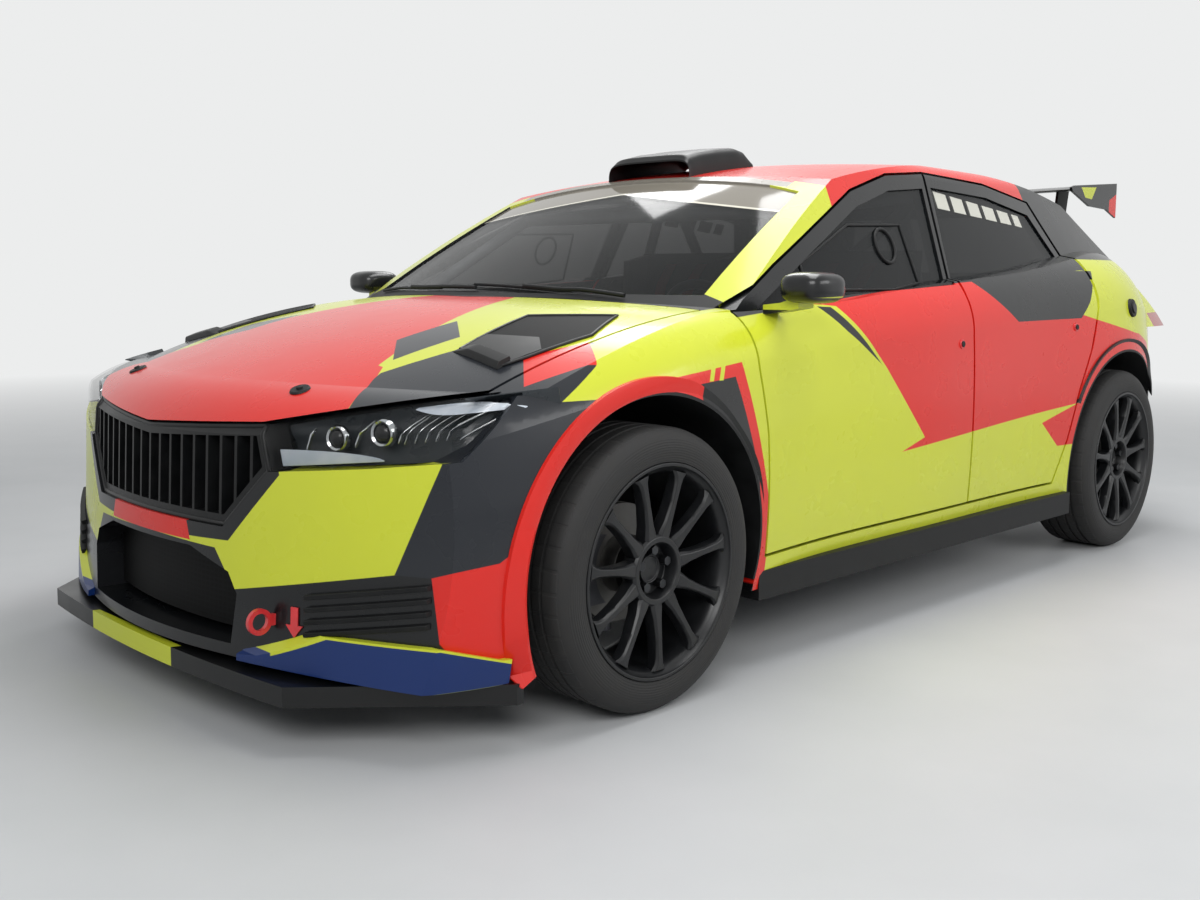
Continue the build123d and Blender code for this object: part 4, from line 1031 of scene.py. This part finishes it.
def fitted_disc(name, tree, place, rings, trim, body):
    """Round steps of radius and height on a side panel."""
    x, k, z = place
    found, normal = from_side(tree, x, z, k)
    turn = Vector((0, 0, 1)).rotation_difference(normal).to_matrix()
    for n, (radius, height, material) in enumerate(rings):
        bm = bmesh.new()
        drum(bm, 48, radius, radius * 0.9, 2 * height)
        settle(bm, bm.verts[:], turn, found)
        piece(f"{name}_{n}", bm, trim[material], body, bevel=0.001)


def rear_end(trim):
    """Lower mesh with its frame, diffuser fins and reflectors on the rear bumper."""
    tree = skin("rear_bumper")

    def behind(y, z, lift):
        found, _ = hit(tree, (PAST_TAIL, y, z), (1, 0, 0))
        return ((found.x if found else -1.95) - lift, y, z)

    def spot(u, v):
        return behind((u * 2 - 1) * (0.40 + 0.06 * v), 0.300 + 0.105 * v, 0.0005)

    bm = bmesh.new()
    grid(bm, 40, 8, spot)
    bmesh.ops.solidify(bm, geom=bm.faces[:], thickness=0.0015)
    piece("rear_mesh", bm, trim["mesh"], "car")
    corners = ((0, 0), (1, 0), (1, 1), (0, 1))
    ring = [spot(u, v) for u, v in around(corners, 12)]
    rod("rear_mesh_frame", ring, 0.003, trim["plastic"], "car", closed=True)
    bm = bmesh.new()
    for y in (-0.42, -0.21, 0, 0.21, 0.42):
        sections = []
        x = behind(y, 0.30, 0)[0]
        rows = ((0.296, 0.002, 0.06), (0.27, 0.01, 0.10), (0.235, 0.01, 0.12), (0.215, 0.006, 0.12))
        for z, reach, length in rows:
            ring = ((-reach, -0.004), (-reach, 0.004), (length, 0.004), (length, -0.004))
            sections.append([(x + dx, y + dy, z) for dx, dy in ring])
        loft(bm, sections)
    piece("diffuser_fins", bm, trim["satin"], "car", bevel=0.001)
    bm = bmesh.new()
    for side, k in SIDES:
        rows = []
        for n in range(9):
            y = k * (0.58 + 0.02 * n)
            profile = ((0.452, -0.002), (0.452, 0.003), (0.470, 0.003), (0.470, -0.002))
            rows.append([behind(y, z, lift) for z, lift in profile])
        loft(bm, rows)
    piece("rear_reflectors", bm, trim["red"], "car", bevel=0.001)


def roof_parts(trim, paints):
    """Scoop and rear wing."""
    roof = skin("roof_panel")
    profile = (
        (0.310, 1.348), (0.296, 1.364), (0.235, 1.379), (0.135, 1.395),
        (0.035, 1.405), (-0.005, 1.399), (-0.05, 1.362),
    )
    bm = bmesh.new()

    def place(u, v):
        position = v * (len(profile) - 1)
        n = min(int(position), len(profile) - 2)
        share = position - n
        x = profile[n][0] + (profile[n + 1][0] - profile[n][0]) * share
        top = profile[n][1] + (profile[n + 1][1] - profile[n][1]) * share
        width = 0.172 - 0.027 * v
        side = u * 2 - 1
        y = width * math.sin(side * math.pi / 2)
        found, _ = from_above(roof, x, y)
        low = (found.z if found else 1.33) - 0.002
        z = low + (top - low) * (1 - abs(side) ** 4.5) ** 0.7
        return (x, y, max(z, low))

    grid(bm, 40, 24, place)
    bmesh.ops.solidify(bm, geom=bm.faces[:], thickness=0.005)
    made = piece("roof_scoop_shell", bm, trim["satin"], "car")
    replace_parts(made, "roof_scoop")
    bm = bmesh.new()
    half_span = 0.59
    foil = (
        (-1470, 1326), (-1500, 1334), (-1580, 1345), (-1700, 1353), (-1800, 1360), (-1898, 1366),
        (-1900, 1362), (-1800, 1350), (-1640, 1333), (-1530, 1322), (-1480, 1321),
    )
    sections = []
    for n in range(17):
        y = -half_span + 2 * half_span * n / 16
        dip = 0.014 * (1 - (y / half_span) ** 2)
        sections.append([(x / 1000, y, z / 1000 - dip * 0.5) for x, z in foil])
    loft(bm, sections)
    blade = piece("wing_blade", bm, trim["carbon"], "tailgate", bevel=0.001)
    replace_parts(blade, "rear_wing")
    plate = (
        (-1900, 1231), (-1802, 1262), (-1640, 1268), (-1482, 1318),
        (-1470, 1334), (-1500, 1342), (-1900, 1371),
    )
    post = ((-1640, 1085), (-1562, 1131), (-1600, 1334), (-1700, 1345))
    marks = wrap("wing_plate_vinyl", "black", [("side", WING_PLATE_AREAS)], paints)
    for side, k in SIDES:
        bm = bmesh.new()
        prism(bm, plate, side_view, k * 590, k * 599.5)
        made = piece(f"wing_plate_{side}", bm, marks, "tailgate", bevel=0.0015, smooth=False)
        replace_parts(made, "rear_wing")
        bm = bmesh.new()
        prism(bm, post, side_view, k * 481, k * 491)
        made = piece(f"wing_post_{side}", bm, trim["satin"], "tailgate", bevel=0.0015, smooth=False)
        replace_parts(made, "rear_wing")


def engine_bay(trim):
    """Cam cover with ribs and caps, intake runners, hoses and a brace between the strut towers."""
    top = 0.692
    bm = bmesh.new()
    superbox(bm, (1.47, -0.03, top + 0.006), (0.125, 0.27, 0.030), 6, 16)
    piece("cam_cover", bm, trim["satin"], "car")
    bm = bmesh.new()
    for n in range(7):
        superbox(bm, (1.47, -0.24 + 0.07 * n, top + 0.034), (0.095, 0.008, 0.006), 5, 8)
    piece("cam_cover_ribs", bm, trim["alloy"], "car")
    bm = bmesh.new()
    for n in range(4):
        y = -0.21 + 0.12 * n
        sections = []
        for x, z in ((1.585, top - 0.01), (1.625, top + 0.012), (1.66, top + 0.004), (1.682, top - 0.006)):
            turns = [math.tau * t / 16 for t in range(16)]
            sections.append(
                [(x + 0.006 * math.sin(a), y + 0.024 * math.cos(a), z + 0.022 * math.sin(a)) for a in turns]
            )
        loft(bm, sections)
    piece("intake_runners", bm, trim["alloy"], "car", bevel=0.001)
    caps = (("oil_cap", 1.40, 0.19, 0.045, 0.026, "red"), ("water_cap", 1.62, 0.25, 0.012, 0.022, "plastic"))
    for name, x, y, height, radius, material in caps:
        bm = bmesh.new()
        drum(bm, 32, radius, radius * 0.9, 0.03)
        bmesh.ops.translate(bm, verts=bm.verts[:], vec=(x, y, top + height))
        piece(name, bm, trim[material], "car", bevel=0.002)
    for name, points in (
        ("upper_hose", ((1.66, 0.20, 0.66), (1.73, 0.22, 0.66), (1.79, 0.21, 0.60), (1.862, 0.20, 0.55))),
        ("lower_hose", ((1.66, -0.22, 0.56), (1.74, -0.25, 0.55), (1.80, -0.24, 0.48), (1.862, -0.22, 0.44))),
    ):
        rod(name, points, 0.020, trim["plastic"], "car", smooth=True)
    brace = ((1.258, 0.60, 0.801), (1.27, 0.45, 0.803), (1.27, -0.45, 0.803), (1.258, -0.60, 0.801))
    rod("strut_brace", brace, 0.012, trim["alloy"], "car")


def cabin(trim):
    """Padded bucket chairs with harnesses, and finishes for the carried-over cabin parts."""
    chair_y, strap_low = 0.36, 0.42
    dress(trim["cage"], "roll_cage")
    dress(trim["plastic"], "dashboard", "scuttle", "arch_liners", "side_skirts")
    dress(trim["suede"], "steering_wheel")
    dress(trim["floor"], "floor_pan")
    dress(trim["iron"], "knuckle_left", "knuckle_right", "front_suspension", "rear_suspension")
    dress(trim["iron"], "engine_block")
    dress(trim["alloy"], "radiator")
    dress(trim["red"], "tow_eyes")
    dress(trim["satin"], "bucket_chairs")
    for side, k in SIDES:
        bm = bmesh.new()
        superbox(bm, (0.085, k * chair_y, 0.348), (0.18, 0.165, 0.028), 3.4, 20)
        piece(f"cushion_{side}", bm, trim["fabric"], "car")
        bm = bmesh.new()
        verts = superbox(bm, (0, k * chair_y, 0.30), (0.03, 0.165, 0.30), 3.6, 20)
        settle(bm, verts, Matrix.Rotation(math.radians(-18), 3, "Y"), (-0.125, 0, 0.345))
        piece(f"back_pad_{side}", bm, trim["fabric"], "car")
        for n, offset in enumerate((-0.075, 0.075)):
            bm = bmesh.new()
            strap = ((0.012, -0.024), (0.012, 0.024), (0.015, 0.024), (0.015, -0.024))
            path = ((-0.335, 1.03), (-0.27, 0.95), (-0.20, 0.75), (-0.135, 0.55), (-0.06, strap_low))
            sections = []
            for x, z in path:
                y = k * chair_y + offset * (0.4 + 0.6 * (z - strap_low) / 0.61)
                sections.append([(x + dx, y + dy, z) for dx, dy in strap])
            loft(bm, sections)
            piece(f"harness_{side}_{n}", bm, trim["webbing"], "car")


def studio(settings):
    """Camera, floor, lights and background."""
    floor_radius = 14
    scene = bpy.context.scene
    scene.view_settings.view_transform = "Standard"
    camera = bpy.data.cameras.new("camera")
    camera.lens, camera.sensor_width = settings.lens, 36
    camera.shift_x, camera.shift_y = settings.shift
    camera.clip_end = 200
    holder = bpy.data.objects.new("camera", camera)
    scene.collection.objects.link(holder)
    yaw, pitch, roll = settings.yaw, settings.pitch, settings.roll
    forward = Vector((math.cos(yaw) * math.cos(pitch), math.sin(yaw) * math.cos(pitch), math.sin(pitch)))
    right = Vector((math.sin(yaw), -math.cos(yaw), 0))
    up = right.cross(forward)
    across = right * math.cos(roll) + up * math.sin(roll)
    upward = up * math.cos(roll) - right * math.sin(roll)
    turn = Matrix((across, upward, -forward)).transposed().to_4x4()
    holder.matrix_world = Matrix.Translation(settings.camera) @ turn
    scene.camera = holder
    bm = bmesh.new()
    bmesh.ops.create_circle(bm, cap_ends=True, segments=128, radius=floor_radius)
    mesh = bpy.data.meshes.new("floor")
    bm.to_mesh(mesh)
    bm.free()
    floor = bpy.data.objects.new("floor", mesh)
    scene.collection.objects.link(floor)
    finish = Finish("floor_paint", Roughness=0.5, Specular_IOR_Level=0.3)
    spots = finish.noise(3, 5)
    finish.paint(Base_Color=finish.mix(spots, rgb("c0c2c3"), rgb("cbcccd")))
    far = finish.x.hypot(finish.y).mask(6.5, 6)
    glow = finish.node("ShaderNodeBackground", {}, {"Color": rgb("eceded"), "Strength": 1.0})
    shown = finish.node("ShaderNodeMixShader", {}, {0: far, 1: finish.shader.outputs[0], 2: glow.outputs[0]})
    output = next(n for n in finish.tree.nodes if n.type == "OUTPUT_MATERIAL")
    finish.tree.links.new(shown.outputs[0], output.inputs["Surface"])
    mesh.materials.append(finish.material)
    world = bpy.data.worlds.new("world")
    world.use_nodes = True
    scene.world = world
    tree = world.node_tree
    tree.nodes.clear()
    path = tree.nodes.new("ShaderNodeLightPath")
    seen = path.outputs["Is Camera Ray"]
    for ray in ("Is Transmission Ray", "Is Glossy Ray"):
        either = tree.nodes.new("ShaderNodeMath")
        either.operation = "MAXIMUM"
        tree.links.new(seen, either.inputs[0])
        tree.links.new(path.outputs[ray], either.inputs[1])
        seen = either.outputs[0]
    sky, back = (tree.nodes.new("ShaderNodeBackground") for _ in range(2))
    sky.inputs["Color"].default_value, sky.inputs["Strength"].default_value = (0.92, 0.96, 1, 1), 0.3
    back.inputs["Color"].default_value, back.inputs["Strength"].default_value = (*rgb("eceded"), 1), 1.0
    mixed = tree.nodes.new("ShaderNodeMixShader")
    tree.links.new(seen, mixed.inputs[0])
    tree.links.new(sky.outputs[0], mixed.inputs[1])
    tree.links.new(back.outputs[0], mixed.inputs[2])
    output = tree.nodes.new("ShaderNodeOutputWorld")
    tree.links.new(mixed.outputs[0], output.inputs[0])
    # Name, place, aim, width and depth, and power in watts.
    rows = (
        ("overhead", (-0.3, 0.4, 4.2), (0, 0, 0), (4.5, 1.6), 135),
        ("key", (4.5, 3.5, 3.2), (0.5, 0, 0.6), (3, 2), 130),
        ("side", (-1.5, 5.0, 2.6), (-0.5, 0, 0.6), (4, 1.5), 78),
        ("back", (-3.5, -3.5, 5.0), (0, 0, 0.6), (2, 1.5), 60),
    )
    for name, place, aim, size, power in rows:
        light = bpy.data.lights.new(name, "AREA")
        light.shape, light.size, light.size_y, light.energy = "RECTANGLE", *size, power
        lamp_holder = bpy.data.objects.new(name, light)
        scene.collection.objects.link(lamp_holder)
        turn = (Vector(aim) - Vector(place)).to_track_quat("-Z", "Y").to_matrix().to_4x4()
        lamp_holder.matrix_world = Matrix.Translation(place) @ turn


# Operators


class WrapBody(Operator):
    """Dress the body panels in the rally wrap"""

    bl_idname = "rally_car.wrap_body"
    bl_label = "Wrap body"

    def execute(self, context):
        wrap_body(context.scene.rally_wrap.paints())
        return {"FINISHED"}


class Glaze(Operator):
    """Give the windows and lamps their glass"""

    bl_idname = "rally_car.glaze"
    bl_label = "Glaze"

    def execute(self, context):
        glaze(context.scene.rally_wrap.paints())
        glass_fittings(finishes())
        return {"FINISHED"}


class FitWheels(Operator):
    """Build the tyres, rims, nuts and discs"""

    bl_idname = "rally_car.fit_wheels"
    bl_label = "Fit wheels"

    def execute(self, context):
        wheels(context.scene.rally_wheels, finishes())
        return {"FINISHED"}


class FitFront(Operator):
    """Build the splitter, lamps, grille edge and bonnet fittings"""

    bl_idname = "rally_car.fit_front"
    bl_label = "Fit front end"

    def execute(self, context):
        front_end(finishes(), context.scene.rally_wrap.paints())
        return {"FINISHED"}


class FitSides(Operator):
    """Build the wheel-arch flares, mirrors, door locks and filler cap"""

    bl_idname = "rally_car.fit_sides"
    bl_label = "Fit sides"

    def execute(self, context):
        paints = context.scene.rally_wrap.paints()
        wheel_arches(finishes(), paints)
        side_fittings(finishes(), paints)
        return {"FINISHED"}


class FitRear(Operator):
    """Build the rear bumper's mesh, diffuser fins and reflectors"""

    bl_idname = "rally_car.fit_rear"
    bl_label = "Fit rear"

    def execute(self, context):
        rear_end(finishes())
        return {"FINISHED"}


class FitRoof(Operator):
    """Build the roof scoop and the rear wing"""

    bl_idname = "rally_car.fit_roof"
    bl_label = "Fit roof and wing"

    def execute(self, context):
        roof_parts(finishes(), context.scene.rally_wrap.paints())
        return {"FINISHED"}


class FitEngine(Operator):
    """Build the engine's cover, pipes and the strut brace"""

    bl_idname = "rally_car.fit_engine"
    bl_label = "Fit engine"

    def execute(self, context):
        engine_bay(finishes())
        return {"FINISHED"}


class FitCabin(Operator):
    """Finish the cabin and pad its bucket chairs"""

    bl_idname = "rally_car.fit_cabin"
    bl_label = "Fit cabin"

    def execute(self, context):
        cabin(finishes())
        return {"FINISHED"}


class BuildStudio(Operator):
    """Set the camera, floor, lights and background"""

    bl_idname = "rally_car.build_studio"
    bl_label = "Build studio"

    def execute(self, context):
        studio(context.scene.rally_studio)
        return {"FINISHED"}


STEPS = (WrapBody, Glaze, FitWheels, FitFront, FitSides, FitRear, FitRoof, FitEngine, FitCabin, BuildStudio)


class RallyCarPanel(Panel):
    """Settings and build steps of the rally car"""

    bl_idname = "VIEW3D_PT_rally_car"
    bl_label = "Rally Car"
    bl_space_type = "VIEW_3D"
    bl_region_type = "UI"
    bl_category = "Rally Car"

    def draw(self, context):
        for settings in (context.scene.rally_wrap, context.scene.rally_wheels, context.scene.rally_studio):
            box = self.layout.box()
            for name in settings.bl_rna.properties.keys():
                if name not in ("rna_type", "name"):
                    box.prop(settings, name)
        for step in STEPS:
            self.layout.operator(step.bl_idname)


CLASSES = (WrapSettings, WheelSettings, StageSettings, *STEPS, RallyCarPanel)
POINTERS = {"rally_wrap": WrapSettings, "rally_wheels": WheelSettings, "rally_studio": StageSettings}


def register():
    for cls in CLASSES:
        bpy.utils.register_class(cls)
    for name, cls in POINTERS.items():
        setattr(bpy.types.Scene, name, PointerProperty(type=cls))


def unregister():
    for name in POINTERS:
        delattr(bpy.types.Scene, name)
    for cls in reversed(CLASSES):
        bpy.utils.unregister_class(cls)


def main():
    register()
    for step in STEPS:
        group, name = step.bl_idname.split(".")
        result = getattr(getattr(bpy.ops, group), name)()
        if result != {"FINISHED"}:
            raise RuntimeError(f"{step.bl_label} didn't finish")


if __name__ == "__main__":
    main()
